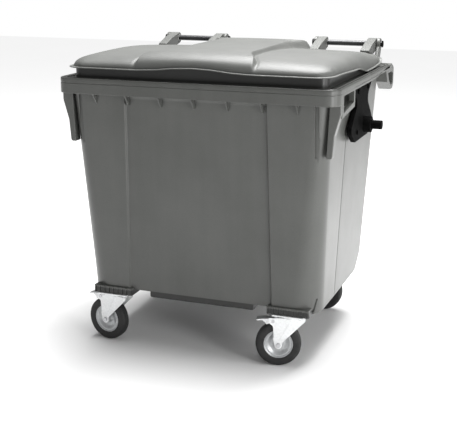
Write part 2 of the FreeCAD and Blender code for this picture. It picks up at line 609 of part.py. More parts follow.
def rear_handle():
    """Loop handle at a rear corner, on the right."""
    bar = "Sizes.HandleBar"
    top = "Places.RimHeight - Sizes.BandDrop / 2"
    foot = "Places.RimHeight - Sizes.HandleDrop"
    back = "Places.RearHandle"
    start = "Places.RearHandleStart"
    inside = RIM_SIDE + " - Sizes.RearHandleWidth"
    outer = slab("YZ", inside, RIM_SIDE, [
        (start, top), (start + " + 2 * " + bar, foot + " + 2 * " + bar),
        ("Sizes.RimBack - " + bar, foot), (back + " - " + bar, foot),
        (back, foot + " + " + bar), (back, "Places.RimHeight - " + bar),
        ("Sizes.RimBack - Sizes.RimThick / 2", "Places.RimHeight")])
    inner = slab("YZ", inside + " - " + bar, RIM_SIDE + " + " + bar, [
        (start + " + 2 * " + bar, top + " - " + bar),
        (start + " + 3 * " + bar, foot + " + 2.5 * " + bar),
        ("Sizes.RimBack - " + bar, foot + " + " + bar),
        (back + " - " + bar + " * 1.4", foot + " + " + bar),
        (back + " - " + bar, foot + " + 1.4 * " + bar),
        (back + " - " + bar, "Places.RimHeight - 2.2 * " + bar),
        ("Sizes.RimBack - " + bar, top + " - " + bar)])
    return cut(outer, inner)


def trunnion_pad():
    """Raised seat for the trunnion bracket, on the right wall."""
    foot, top = "Places.BracketFoot + Sizes.HandleBar", "Places.BracketTop - Sizes.RimThick"
    return slab("XZ", "-Sizes.BracketPlace - Sizes.BracketNeck / 2",
                "-Sizes.BracketPlace + Sizes.BracketNeck / 2", [
                    (wall_side(foot, "Sizes.Wall / 2"), foot), ("Places.PadFace", foot),
                    ("Places.PadFace", top), (wall_side(top, "Sizes.Wall / 2"), top)])


def hinge_post(inner):
    """Post that carries a hinge tube, from its inner face, on the right."""
    outer = "(%s) + Sizes.PostThick" % inner
    hub = rod("X", "Places.HingeHub", inner, outer, y="Places.HingePlace", z="Places.HingeHeight")
    web = slab("YZ", inner, outer, [
        ("Places.TopBack", RIM_UNDER), ("Sizes.RimBack", RIM_UNDER),
        ("Sizes.RimBack", "Places.RimHeight"),
        ("Places.HingePlace + Places.HingeHub", "Places.HingeHeight - Places.HingeHub / 2"),
        ("Places.HingePlace + Places.HingeHub", "Places.HingeHeight"),
        ("Places.HingePlace - Places.HingeHub", "Places.HingeHeight"),
        ("Places.HingePlace - Places.HingeHub", "Places.HingeHeight - Places.HingeHub")])
    return fuse(hub, web)


def caster_seat(y):
    """Block that a caster is bolted to, on the right."""
    middle = "Places.SwivelSide"
    return box((middle + " - Sizes.BlockLength / 2", middle + " + Sizes.BlockLength / 2"),
               ("%s - Sizes.BlockDepth / 2" % y, "%s + Sizes.BlockDepth / 2" % y),
               ("Places.PlateTop", "Places.FloorHeight + Sizes.Wall / 2"))


def bolt_places(x, y):
    """Centres of a caster plate's four bolts."""
    return [("%s %s Sizes.BoltPitchLong / 2" % (x, i), "%s %s Sizes.BoltPitchShort / 2" % (y, j))
            for i in "-+" for j in "-+"]


CORNERS = {
    "front_left": ("-Places.SwivelSide", "-Places.SwivelFront", "Sizes.FrontLeftTurn"),
    "front_right": ("Places.SwivelSide", "-Places.SwivelFront", "Sizes.FrontRightTurn"),
    "rear_left": ("-Places.SwivelSide", "Places.SwivelBack", "Sizes.RearLeftTurn"),
    "rear_right": ("Places.SwivelSide", "Places.SwivelBack", "Sizes.RearRightTurn"),
}
BOLT_TOP = "Places.PlateTop + Sizes.BoltReach"


def tub():
    """The one-piece moulding: walls, floor, rim, collar, handles, posts and caster seats."""
    hull, cavity, hollow = tub_shell()
    pan_outer, pan_inner = pan()
    post_outer = "Places.PostOuter - Sizes.PostThick"
    body = cut(hull, hollow)
    extras = [pan_outer, rim(), collar(), *comb_gussets()]
    for item in (side_handle(), rear_handle(), trunnion_pad(), hinge_post("Places.PostInner"),
                 hinge_post(post_outer), caster_seat("-Places.SwivelFront"),
                 caster_seat("Places.SwivelBack")):
        extras += pair(item)
    drain = rod("Y", "Sizes.DrainRadius", "Places.DrainFace - 4 * Sizes.Wall",
                "Places.DrainFace + 4 * Sizes.Wall", x="Places.PlugPlace", z="Places.PlugHeight")
    tube_hole = rod("X", "Sizes.TubeRadius + Sizes.RunningGap", "Sizes.TubeInner", "Places.TubeOuter",
                    y="Places.HingePlace", z="Places.HingeHeight")
    bolt_holes = []
    for corner_x, corner_y, turn in CORNERS.values():
        for x, y in bolt_places(corner_x, corner_y):
            bolt_holes.append(rod("Z", "Sizes.BoltRadius + Sizes.RunningGap", "Places.PlateTop - Sizes.Past",
                                  BOLT_TOP + " + Sizes.Past", x=x, y=y))
    whole = fuse(body, *extras)
    return cut(whole, cavity, pan_inner, mouth(), drain, *pair(tube_hole), *bolt_holes)


# ---------------------------------------------------------------- trunnions
PLATE_FACE = "Places.PadFace + Sizes.BracketThick"


def trunnion_bracket():
    """Vase-shaped bracket with the boss that holds the trunnion pin, on the right."""
    middle = "-Sizes.BracketPlace"
    neck = "Sizes.BracketNeck / 2"
    wide = "Sizes.BracketWidth / 2"

    def corner(side, width, share):
        return "%s %s %s" % (middle, side, width), "Places.BracketFoot + %s * Sizes.BracketHeight" % share

    corners = [
        corner("-", wide + " * 0.62", "0"), corner("+", wide + " * 0.62", "0"),
        corner("+", wide, "0.2"), corner("+", wide, "0.3"), corner("+", neck, "0.64"),
        corner("+", neck, "0.78"), corner("+", wide + " * 0.9", "1"),
        corner("-", wide + " * 0.9", "1"), corner("-", neck, "0.78"), corner("-", neck, "0.64"),
        corner("-", wide, "0.3"), corner("-", wide, "0.2"),
    ]
    plate = slab("YZ", "Places.PadFace", PLATE_FACE, corners)
    boss = rod("X", "Places.TrunnionBoss", "Places.PadFace", "Places.BossFace",
               y="Sizes.TrunnionPlace", z="Places.TrunnionHeight")
    hole = rod("X", "Places.PinShank", PLATE_FACE, "Places.BossFace + Sizes.Past",
               y="Sizes.TrunnionPlace", z="Places.TrunnionHeight")
    bolt_holes = [rod("X", "Sizes.BoltRadius", "Places.PadFace - Sizes.Past",
                      PLATE_FACE + " + Sizes.Past", y=y, z=z) for y, z in bracket_bolt_places()]
    return cut(fuse(plate, boss), hole, *bolt_holes)


def bracket_bolt_places():
    """Centres of the bolts through a trunnion bracket."""
    inset = "Sizes.BracketNeck / 2 - 3 * Sizes.BoltRadius"
    low = "Places.BracketFoot + 8 * Sizes.BoltRadius"
    high = "Places.BracketTop - 4 * Sizes.BoltRadius"
    return [("-Sizes.BracketPlace %s (%s)" % (side, inset), z) for side in "-+" for z in (low, high)]


def trunnion_pin():
    """Pin that a lifting arm grips, with a thinner shank in its boss, on the right."""
    where = dict(y="Sizes.TrunnionPlace", z="Places.TrunnionHeight")
    return fuse(rod("X", "Places.PinShank", PLATE_FACE, "Places.BossFace", **where),
                rod("X", "Sizes.TrunnionRadius", "Places.BossFace", "Places.TrunnionSpan / 2", **where))


def bracket_bolts():
    """Four bolts through a bracket to its pad, on the right."""
    bolts = []
    for y, z in bracket_bolt_places():
        shank = rod("X", "Sizes.BoltRadius", "Places.PadFace", PLATE_FACE + " + Sizes.Past", y=y, z=z)
        head = hexagon("X", "2 * Sizes.BoltRadius", PLATE_FACE,
                       PLATE_FACE + " + 1.4 * Sizes.BoltRadius", y=y, z=z)
        bolts.append(fuse(shank, head))
    return bolts


def group(items):
    """Several separate solids kept as one sub-part."""
    gathered = doc.addObject("Part::Compound", fresh("Group"))
    gathered.Links = items
    return gathered


# ---------------------------------------------------------------- hinge tubes
def hinge_tube():
    """Tube that is hinge pin and push handle in one, on the right."""
    where = dict(y="Places.HingePlace", z="Places.HingeHeight")
    return cut(rod("X", "Sizes.TubeRadius", "Sizes.TubeInner", "Places.TubeOuter", **where),
               rod("X", "Places.TubeBore", "Sizes.TubeInner - Sizes.Past",
                   "Places.TubeOuter + Sizes.Past", **where))


def tube_caps():
    """Plugs with flanged heads in both ends of a hinge tube, on the right."""
    where = dict(y="Places.HingePlace", z="Places.HingeHeight")
    length, flange = "2 * Places.TubeBore", "Sizes.TubeRadius * 0.4"
    caps = []
    for end, way in (("Sizes.TubeInner", 1), ("Places.TubeOuter", -1)):
        inside = "%s + %d * %s" % (end, way, length)
        outside = "%s - %d * %s" % (end, way, flange)
        stem = [end, inside] if way > 0 else [inside, end]
        head = [outside, end] if way > 0 else [end, outside]
        caps.append(fuse(rod("X", "Places.TubeBore - Sizes.RunningGap", *stem, **where),
                         rod("X", "Sizes.TubeRadius + Sizes.CapFlange", *head, **where)))
    return caps


# ---------------------------------------------------------------- lid
LID_SIDE = "Places.LidWidth / 2"
FLANGE_TOP = "Places.LidHeight + Sizes.LidThick"


def lid_layer(levels, inset):
    """Crown of the lid through (height, extra inset) levels, all moved in by inset."""
    sections = []
    for height, extra in levels:
        total = "(%s) + (%s)" % (inset, extra)
        side = "%s - (%s)" % (LID_SIDE, total)
        sections.append(rounded(height, "-(%s)" % side, side, "-Places.LidFront + %s" % total,
                                "Places.LidBack - (%s)" % total, "Sizes.LidCorner"))
    return loft(*sections)


def ridge(top, inset):
    """Raised middle of the lid below a height."""
    foot = "Places.LidHeight"
    return wedge(foot, top,
                 ("-Sizes.RidgeFoot / 2 + %s" % inset, "Sizes.RidgeFoot / 2 - %s" % inset,
                  "-Places.LidFront + Sizes.LidCorner / 4 + %s" % inset, "Places.LidBack - %s" % inset),
                 ("-Sizes.RidgeWidth / 2 + %s" % inset, "Sizes.RidgeWidth / 2 - %s" % inset,
                  "-Places.LidFront + 1.6 * Sizes.LidCorner + %s" % inset, "Places.LidBack - %s" % inset))


def lid_arm(inner):
    """Arm that carries the lid on a hinge tube, from its inner face, on the right."""
    outer = "(%s) + Sizes.ArmThick" % inner
    hub = rod("X", "Places.HingeHub", inner, outer, y="Places.HingePlace", z="Places.HingeHeight")
    web = slab("YZ", inner, outer, [
        ("Places.LidBack - 2 * Places.HingeHub", FLANGE_TOP),
        ("Places.LidBack", "Places.LidHeight"),
        ("Places.HingePlace", "Places.HingeHeight - Places.HingeHub"),
        ("Places.HingePlace", "Places.HingeHeight + Places.HingeHub"),
        ("Places.LidBack - 1.5 * Places.HingeHub", "Places.CrownTop + Places.HingeHub / 2"),
        ("Places.LidBack - 3 * Places.HingeHub", "Places.CrownTop - Sizes.LidThick")])
    return fuse(hub, web)


def lid_skirt():
    """Side skirt whose foot drops towards the rear, on the right."""
    return slab("YZ", LID_SIDE + " - Sizes.LidThick", LID_SIDE, [
        ("-Places.LidFront + 4 * Sizes.LidCorner", "Places.LidHeight"),
        ("-Sizes.BracketPlace", "Places.LidHeight - 0.6 * (Places.LidHeight - Places.SkirtFoot)"),
        ("-Sizes.BracketPlace + 2 * Sizes.LidCorner", "Places.SkirtFoot"),
        ("Places.LidBack - Sizes.LidCorner", "Places.SkirtFoot + Sizes.LidThick"),
        ("Places.LidBack - Sizes.LidCorner", FLANGE_TOP),
        ("-Places.LidFront + 4 * Sizes.LidCorner", FLANGE_TOP)])


ARM_INNER = "Places.PostInner + Sizes.PostThick + Sizes.ArmGap"
ARM_OUTER = "Places.PostOuter - Sizes.PostThick - Sizes.ArmGap - Sizes.ArmThick"


def lid():
    """Flat lid: flange, crowned top with a raised middle, skirts and hinge arms."""
    flange = lid_layer([("Places.LidHeight", "0"), (FLANGE_TOP, "0")], "0")
    crown = [(FLANGE_TOP, "Sizes.CrownFoot"), ("Places.CrownTop", "Sizes.CrownFoot + Sizes.CrownSlope")]
    crown_low = [("Places.LidHeight - Sizes.Past", "Sizes.CrownFoot"),
                 ("Places.CrownTop - Sizes.LidThick", "Sizes.CrownFoot + Sizes.CrownSlope")]
    outer = fuse(flange, lid_layer(crown, "0"), ridge("Places.RidgeTop", "0"),
                 *pair(lid_skirt()), *pair(lid_arm(ARM_INNER)), *pair(lid_arm(ARM_OUTER)))
    ridge_hollow = ridge("Places.RidgeTop - Sizes.LidThick", "Sizes.LidThick * 2")
    bush_hole = rod("X", "Sizes.TubeRadius + Sizes.BushWall", "Sizes.TubeInner", "Places.TubeOuter",
                    y="Places.HingePlace", z="Places.HingeHeight")
    return cut(outer, lid_layer(crown_low, "Sizes.LidThick"), ridge_hollow, *pair(bush_hole))


def hinge_bushes():
    """Bushes pressed into the lid arms, on the right."""
    where = dict(y="Places.HingePlace", z="Places.HingeHeight")
    bushes = []
    for inner in (ARM_INNER, ARM_OUTER):
        outer = "%s + Sizes.ArmThick" % inner
        bushes.append(cut(rod("X", "Sizes.TubeRadius + Sizes.BushWall", inner, outer, **where),
                          rod("X", "Sizes.TubeRadius + Sizes.RunningGap", inner + " - Sizes.Past",
                              outer + " + Sizes.Past", **where)))
    return bushes


# ---------------------------------------------------------------- drain
def drain_plug():
    """Screw plug of the drain: a round cap with a stem through the rear wall."""
    where = dict(x="Places.PlugPlace", z="Places.PlugHeight")
    cap = rod("Y", "Sizes.PlugRadius", "Places.PlugSeat", "Places.PlugSeat + Sizes.CapThick", **where)
    stem = rod("Y", "Sizes.DrainRadius - Sizes.SeatGap", "Places.DrainFace - 2 * Sizes.Wall",
               "Places.PlugSeat + Sizes.CapThick / 2", **where)
    return fuse(cap, stem)


def drain_seal():
    """Flat ring between the drain plug's cap and the wall."""
    where = dict(x="Places.PlugPlace", z="Places.PlugHeight")
    return cut(rod("Y", "Places.SealReach", "Places.SealFace", "Places.PlugSeat", **where),
               rod("Y", "Sizes.DrainRadius", "Places.SealFace - Sizes.Past",
                   "Places.PlugSeat + Sizes.Past", **where))


# ---------------------------------------------------------------- casters
# A caster is built with its swivel axis on Z and its trail along +X, then turned and placed.
PLATE_FOOT = "Places.PlateTop - Sizes.PlateThick"
RACE_FOOT = "%s - Sizes.RaceThick" % PLATE_FOOT
CROWN_TOP = "%s - Sizes.SeatGap" % RACE_FOOT
FORK_INSIDE = "Sizes.TyreWidth / 2 + Sizes.ForkGap"
FORK_OUTSIDE = FORK_INSIDE + " + Sizes.ForkThick"
PEDAL_PIVOT = ("Sizes.WheelTrail + Sizes.PedalSet", "2 * Sizes.WheelRadius + Sizes.PedalRise")


def mirror_y(corners):
    """Outline's corners followed by their mirror images across y = 0."""
    return corners + [(u, "-(%s)" % v) for u, v in reversed(corners)]


def caster_plate():
    """Square-cornered plate that is bolted under the tub."""
    plate = box(half("PlateLength"), half("PlateDepth"), (PLATE_FOOT, "Places.PlateTop"))
    holes = [rod("Z", "Sizes.BoltRadius + Sizes.RunningGap", PLATE_FOOT + " - Sizes.Past",
                 "Places.PlateTop + Sizes.Past", x=x, y=y) for x, y in bolt_places("0", "0")]
    centre = rod("Z", "Sizes.AxleRadius", PLATE_FOOT + " - Sizes.Past", "Places.PlateTop + Sizes.Past")
    return cut(plate, centre, *holes)


def swivel_bearing():
    """Ball race under the caster plate."""
    return cut(rod("Z", "Sizes.RaceRadius", RACE_FOOT, PLATE_FOOT),
               rod("Z", "Sizes.AxleRadius", RACE_FOOT + " - Sizes.Past", PLATE_FOOT + " + Sizes.Past"))


def kingpin():
    """Bolt that the fork turns on, with its nut under the fork's crown."""
    foot = "%s - Sizes.ForkThick - Sizes.SeatGap" % CROWN_TOP
    return fuse(rod("Z", "Sizes.AxleRadius", foot + " - Sizes.AxleRadius", "Places.PlateTop"),
                hexagon("Z", "1.9 * Sizes.AxleRadius", foot + " - 1.2 * Sizes.AxleRadius", foot))


def fork(with_brake):
    """Pressed fork: crown, two tapering legs and, with a brake, ears for its pedal."""
    radius, trail = "Sizes.WheelRadius", "Sizes.WheelTrail"
    crown_foot = "%s - Sizes.ForkThick" % CROWN_TOP
    ear = "3.6 * Sizes.BoltRadius"
    reach = "%s + %s" % (PEDAL_PIVOT[0], ear) if with_brake else "%s + 0.2 * %s" % (trail, radius)
    shoulder = "%s - 1.6 * Sizes.BoltRadius" % PEDAL_PIVOT[1]
    legs = []
    for low, high in ((FORK_INSIDE, FORK_OUTSIDE), ("-(%s)" % FORK_OUTSIDE, "-(%s)" % FORK_INSIDE)):
        leg = slab("XZ", low, high, [
            ("-Sizes.ForkLead", CROWN_TOP), ("-Sizes.ForkLead", crown_foot + " - Sizes.ForkLip"),
            (trail + " - 0.16 * " + radius, radius), (trail + " + 0.16 * " + radius, radius),
            (trail + " + 0.24 * " + radius, "1.9 * " + radius), (reach, shoulder),
            (reach, CROWN_TOP)])
        legs += [leg, rod("Y", "0.17 * " + radius, low, high, x=trail, z=radius)]
    crown = box(("-Sizes.ForkLead", trail + " + 0.2 * " + radius),
                ("-(%s)" % FORK_OUTSIDE, FORK_OUTSIDE), (crown_foot, CROWN_TOP))
    dome = rod("Z", "Sizes.RaceRadius", crown_foot, CROWN_TOP)
    king_hole = rod("Z", "Sizes.AxleRadius + Sizes.RunningGap", crown_foot + " - Sizes.Past",
                    CROWN_TOP + " + Sizes.Past")
    axle_hole = rod("Y", "Sizes.AxleRadius", "-Sizes.TyreWidth", "Sizes.TyreWidth", x=trail, z=radius)
    holes = [king_hole, axle_hole]
    if with_brake:
        holes.append(rod("Y", "Sizes.BoltRadius", "-Sizes.TyreWidth", "Sizes.TyreWidth",
                         x=PEDAL_PIVOT[0], z=PEDAL_PIVOT[1]))
    return cut(fuse(crown, dome, *legs), *holes)


def axle():
    """Axle bolt with its head and nut outside the fork."""
    where = dict(x="Sizes.WheelTrail", z="Sizes.WheelRadius")
    head = "Sizes.AxleRadius * 1.1"
    across = "1.7 * Sizes.AxleRadius"
    left, right = "-(%s)" % FORK_OUTSIDE, FORK_OUTSIDE
    return fuse(rod("Y", "Sizes.AxleRadius", left + " - Sizes.Past", right + " + Sizes.Past", **where),
                hexagon("Y", across, "%s - %s" % (left, head), left, **where),
                hexagon("Y", across, right, "%s + %s" % (right, head), **where))


def wheel_bush():
    """Plain bearing between the axle and the wheel centre."""
    where = dict(x="Sizes.WheelTrail", z="Sizes.WheelRadius")
    ends = "-(%s) + Sizes.SeatGap" % FORK_INSIDE, FORK_INSIDE + " - Sizes.SeatGap"
    return cut(rod("Y", "Places.BushRadius", *ends, **where),
               rod("Y", "Sizes.AxleRadius + Sizes.RunningGap", ends[0] + " - Sizes.Past",
                   ends[1] + " + Sizes.Past", **where))


def wheel_centre():
    """Dished centre of a wheel: hub, web and rim band."""
    hub, band = "Places.BushRadius * 1.9", "Places.TyreBore - Sizes.DiscThick"
    web = "Sizes.ForkThick"
    return place(turned(mirror_y([
        ("Places.BushRadius", "Sizes.TyreWidth / 2"), (hub, "Sizes.TyreWidth / 2"),
        (hub + " + Sizes.DiscFlare", web + " * 2"), (band + " - Sizes.DiscRoll", web),
        (band, "0.36 * Sizes.TyreWidth"),
        (band, "0.42 * Sizes.TyreWidth"), ("Places.TyreBore", "0.42 * Sizes.TyreWidth")])),
        "Sizes.WheelTrail", "0", "Sizes.WheelRadius")


def tyre():
    """Solid rubber tyre with rounded shoulders."""
    def ring(share, width):
        return "Places.TyreBore + %s * Sizes.TyreDepth" % share, "%s * Sizes.TyreWidth / 2" % width

    return place(turned(mirror_y([
        ring("0", "0.84"), ring("0.05", "0.94"), ring("0.3", "1"), ring("0.62", "0.96"),
        ring("0.84", "0.84"), ring("0.95", "0.66"), ring("1", "0.42")])),
        "Sizes.WheelTrail", "0", "Sizes.WheelRadius")


def brake_pedal():
    """Foot pedal with its brake shoe over the tyre."""
    px, pz = PEDAL_PIVOT
    left, right = half("PedalWidth")

    def corner(along, up):
        return "%s + %s * Sizes.PedalLength" % (px, along), "%s + %s * Sizes.PedalLength" % (pz, up)

    lever = slab("XZ", left, right, [
        corner("-0.08", "-0.08"), corner("0.17", "-0.19"), corner("0.41", "-0.26"),
        corner("0.44", "-0.19"), corner("0.64", "0"), corner("0.97", "-0.03"),
        corner("1", "0.04"), corner("0.64", "0.08"), corner("-0.03", "0.1")])
    eye = rod("Y", "1.6 * Sizes.BoltRadius", left, right, x=px, z=pz)
    hole = rod("Y", "Sizes.BoltRadius + Sizes.RunningGap", "-Sizes.TyreWidth", "Sizes.TyreWidth",
               x=px, z=pz)
    return cut(fuse(lever, eye), hole)


def brake_pin():
    """Rivet that the brake pedal turns on."""
    where = dict(x=PEDAL_PIVOT[0], z=PEDAL_PIVOT[1])
    left, right = "-(%s)" % FORK_OUTSIDE, FORK_OUTSIDE
    return fuse(rod("Y", "Sizes.BoltRadius", left + " - Sizes.Past", right + " + Sizes.Past", **where),
                rod("Y", "1.5 * Sizes.BoltRadius", left + " - Sizes.RivetHead", left, **where),
                rod("Y", "1.5 * Sizes.BoltRadius", right, right + " + Sizes.RivetHead", **where))


def settle(item, x, y, turn="0"):
    """Move a finished caster piece to its corner, turned to its trail's heading."""
    carried = doc.addObject("Part::Compound", fresh("Placed"))
    carried.Links = [item]
    place(carried, x, y, rotation=FreeCAD.Rotation(Vector(0, 0, 1), 1))
    carried.setExpression("Placement.Rotation.Angle", turn)
    return carried


def casters():
    """All four casters; the front two have brakes."""
    for corner, (x, y, turn) in CORNERS.items():
        fixed = {"caster_plate": caster_plate(), "swivel_bearing": swivel_bearing(),
                 "kingpin": kingpin()}
        front = corner.startswith("front")
        turning = {"fork": fork(front), "wheel_axle": axle(), "wheel_bush": wheel_bush(),
                   "wheel_centre": wheel_centre(), "tyre": tyre()}
        if front:
            turning["brake_pedal"] = brake_pedal()
            turning["brake_pin"] = brake_pin()
        for name, item in fixed.items():
            node("%s_%s" % (name, corner), settle(item, x, y))
        for name, item in turning.items():
            node("%s_%s" % (name, corner), settle(item, x, y, turn))


def caster_bolts():
    """Hexagon bolts that hold the caster plates, with their heads below."""
    bolts = []
    for corner_x, corner_y, turn in CORNERS.values():
        for x, y in bolt_places(corner_x, corner_y):
            bolts.append(fuse(
                rod("Z", "Sizes.BoltRadius", PLATE_FOOT + " - Sizes.Past", BOLT_TOP, x=x, y=y),
                hexagon("Z", "1.7 * Sizes.BoltRadius", PLATE_FOOT + " - 1.3 * Sizes.BoltRadius",
                        PLATE_FOOT, x=x, y=y)))
    return bolts


# ---------------------------------------------------------------- assembly
def assemble():
    """Make every sub-part."""
    node("tub", tub())
    node("lid", lid())
    one_a_side = {
        "trunnion_bracket": trunnion_bracket(), "trunnion_pin": trunnion_pin(),
        "bracket_bolts": group(bracket_bolts()), "hinge_tube": hinge_tube(),
        "tube_caps": group(tube_caps()), "hinge_bushes": group(hinge_bushes()),
    }
    for name, item in one_a_side.items():
        node(name + "_right", item)
        node(name + "_left", mirrored(item))
    node("drain_plug", drain_plug())
    node("drain_seal", drain_seal())
    casters()
    node("caster_bolts", group(caster_bolts()))


def check():
    """Stop if any object failed, or a sub-part's shape is missing or invalid."""
    for item in doc.Objects:
        if "Invalid" in item.State or "Error" in item.State:
            raise RuntimeError("%s (%s) failed: %s" % (item.Name, item.Label, item.State))
    for name, item in nodes.items():
        shape = item.Shape
        if shape.isNull() or not shape.isValid() or not shape.Solids:
            raise RuntimeError("%s has no valid solid" % name)


assemble()
doc.recompute()
check()
os.makedirs("parts", exist_ok=True)
for name, item in nodes.items():
    item.Shape.exportStep("parts/%s.step" % name)
    print("%-28s %d solids  %.1f cm3" % (name, len(item.Shape.Solids), item.Shape.Volume / 1000))
whole = Part.Compound([item.Shape for item in nodes.values()]).BoundBox
print("overall", whole)
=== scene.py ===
"""Looks of a four-wheeled waste container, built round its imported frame. All sizes are in metres."""
import json
import math

import bmesh
import bpy
from mathutils import Matrix, Vector


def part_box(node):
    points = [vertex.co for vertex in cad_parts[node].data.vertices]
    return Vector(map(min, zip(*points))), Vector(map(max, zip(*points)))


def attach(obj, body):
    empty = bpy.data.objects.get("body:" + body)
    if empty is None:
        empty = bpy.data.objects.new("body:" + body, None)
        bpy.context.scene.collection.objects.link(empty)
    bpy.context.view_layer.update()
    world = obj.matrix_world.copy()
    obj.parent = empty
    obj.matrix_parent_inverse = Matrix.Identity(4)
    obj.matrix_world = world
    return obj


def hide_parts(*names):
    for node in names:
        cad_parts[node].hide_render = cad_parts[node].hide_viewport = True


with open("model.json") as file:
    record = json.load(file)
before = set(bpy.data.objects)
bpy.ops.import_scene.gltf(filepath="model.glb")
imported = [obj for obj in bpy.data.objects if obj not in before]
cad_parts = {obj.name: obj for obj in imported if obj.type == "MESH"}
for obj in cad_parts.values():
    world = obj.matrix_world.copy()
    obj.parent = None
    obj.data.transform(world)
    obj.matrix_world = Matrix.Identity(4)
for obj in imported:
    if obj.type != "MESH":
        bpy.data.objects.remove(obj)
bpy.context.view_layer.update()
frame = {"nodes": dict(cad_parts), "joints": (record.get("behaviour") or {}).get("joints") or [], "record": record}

JOINTS = {joint["name"]: joint for joint in frame["joints"]}
CORNERS = ("front_left", "front_right", "rear_left", "rear_right")
SIDES = ("left", "right")

# ------------------------------------------------------------------ places from the frame, and sizes
TUB_LOW, TUB_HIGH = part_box("tub")
HINGE = Vector(JOINTS["lid_hinge"]["pos_m"])
PLATE_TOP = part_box("caster_plate_front_left")[1].z
BRACKET_LOW, BRACKET_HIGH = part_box("trunnion_bracket_right")
PIN_LOW, PIN_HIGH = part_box("trunnion_pin_right")
LID_LOW, LID_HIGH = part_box("lid")
TUBE_RADIUS = (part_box("hinge_tube_right")[1].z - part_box("hinge_tube_right")[0].z) / 2
TUBE_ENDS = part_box("hinge_tube_right")[0].x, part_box("hinge_tube_right")[1].x

RIM_HALF = TUB_HIGH.x
RIM_FRONT = TUB_LOW.y
RIM_TOP = HINGE.z - 0.089
RIM_BACK = HINGE.y - 0.013
RIM_CORNER = 0.060
RIM_SKIN = 0.005
LIP_DROP = 0.067
BAND_DROP = 0.033
TOP_HALF = RIM_HALF - 0.042
TOP_FRONT = RIM_FRONT + 0.037
TOP_BACK = RIM_BACK - 0.082
SIDE_TAPER = 0.0445
FRONT_TAPER = 0.044
BACK_TAPER = 0.038
FOOT = PLATE_TOP + 0.002
FRONT_FOOT = PLATE_TOP + 0.026
FLOOR = PLATE_TOP + 0.032
PAN_FOOT = PLATE_TOP - 0.009
WALL = 0.006
WALL_CORNER = 0.060
FOOT_CORNER = 0.112
PANEL_SINK = 0.010
COLLAR_TOP = RIM_TOP + 0.042
COLLAR_INSET = 0.014
ARCH = 0.016
CREASE = -0.183
CREASE_DEPTH = 0.004
LID_HALF = LID_HIGH.x
LID_FRONT = LID_LOW.y
LID_BACK = RIM_BACK - 0.037
LID_CORNER = 0.060
LID_SKIN = 0.005
LIP = 0.011
LIP_THICK = 0.005
FLANK_CORNER = LID_CORNER + 0.006
FLANK_HALF, FLANK_FRONT, FLANK_BACK = LID_HALF - LIP, LID_FRONT + LIP, LID_BACK - LIP
SIDE_ROUND = 0.085
FRONT_ROUND = 0.105
BACK_ROUND = 0.040
LOBE_TOP = RIM_TOP + 0.092
MIDDLE_TOP = RIM_TOP + 0.113
CLUSTER = (0.0, 0.0006, 0.002, 0.005, 0.009, 0.014, 0.020, 0.028, 0.038, 0.050, 0.064)
ARC_STEPS = 10
BAR = 0.022
HUB = 0.028
PLATE_DROP = 0.006
PANEL_HALF = 0.340
PANEL_FLARE = 0.022
CUT_LENGTH = 0.182
CUT_RISE = 0.164
CUT_INSET = 0.0315
COMB_DROP = 0.112
COMB_PITCH = 0.152
COMB_HALF = 0.003
HANDLE_DROP = 0.126
PILLAR_DROP = 0.288
SLOT_INSET = 0.053
SLOT_HALF = 0.008
PAN_HALF = 0.25
PAN_BACK = 0.2
DRAIN_RADIUS = 0.0204
TUBE_GAP = 0.0002
BUSH_WALL = 0.002
POST_INSET = 0.006
POST_WIDE = 0.016
ARM_GAP = 0.003
ARM_WIDE = 0.044
BOSS_RADIUS = 0.036
PIN_HOLE_RADIUS = 0.0183
WHEEL = Vector(JOINTS["wheel_spin_rear_left"]["pos_m"])
SWIVEL = Vector(JOINTS["swivel_rear_left"]["pos_m"])
TRAIL = math.hypot(WHEEL.x - SWIVEL.x, WHEEL.y - SWIVEL.y)
RADIUS = WHEEL.z
TYRE_HALF = 0.024
TYRE_BORE = RADIUS - 0.036
FORK_IN = TYRE_HALF + 0.004
FORK_OUT = FORK_IN + 0.004
FORK_TOP = PLATE_TOP - 0.0133


# ------------------------------------------------------------------ mesh tools
def new_object(name, vertices, faces):
    """Mesh object from plain lists, with its faces' normals made consistent."""
    mesh = bpy.data.meshes.new(name)
    mesh.from_pydata([tuple(v) for v in vertices], [], faces)
    work = bmesh.new()
    work.from_mesh(mesh)
    bmesh.ops.recalc_face_normals(work, faces=work.faces)
    work.to_mesh(mesh)
    work.free()
    item = bpy.data.objects.new(name, mesh)
    bpy.context.scene.collection.objects.link(item)
    return item


def bake(item):
    """Turn an object's modifiers into its mesh."""
    bpy.context.view_layer.update()
    graph = bpy.context.evaluated_depsgraph_get()
    mesh = bpy.data.meshes.new_from_object(item.evaluated_get(graph))
    item.modifiers.clear()
    old = item.data
    item.data = mesh
    bpy.data.meshes.remove(old)
    return item


def bevel(item, width, segments=2, angle=30):
    """Round the edges sharper than an angle."""
    modifier = item.modifiers.new("round", "BEVEL")
    modifier.width = width
    modifier.segments = segments
    modifier.limit_method = "ANGLE"
    modifier.angle_limit = math.radians(angle)
    return bake(item)


def combine(base, tools, operation="UNION"):
    """Join closed solids into one, or take the tools away from the base; the tools are used up."""
    for tool in tools:
        modifier = base.modifiers.new("join", "BOOLEAN")
        modifier.operation = operation
        modifier.solver = "MANIFOLD"
        modifier.object = tool
    bake(base)
    for tool in tools:
        remove(tool)
    return base


def remove(item):
    """Take an object and its mesh out of the file."""
    mesh = item.data
    bpy.data.objects.remove(item)
    bpy.data.meshes.remove(mesh)


def shade(item, angle=32):
    """Smooth shading that keeps edges sharper than an angle, with face-weighted normals."""
    item.data.polygons.foreach_set("use_smooth", [True] * len(item.data.polygons))
    item.data.set_sharp_from_angle(angle=math.radians(angle))
    modifier = item.modifiers.new("normals", "WEIGHTED_NORMAL")
    modifier.keep_sharp = True
    modifier.weight = 80
    return bake(item)


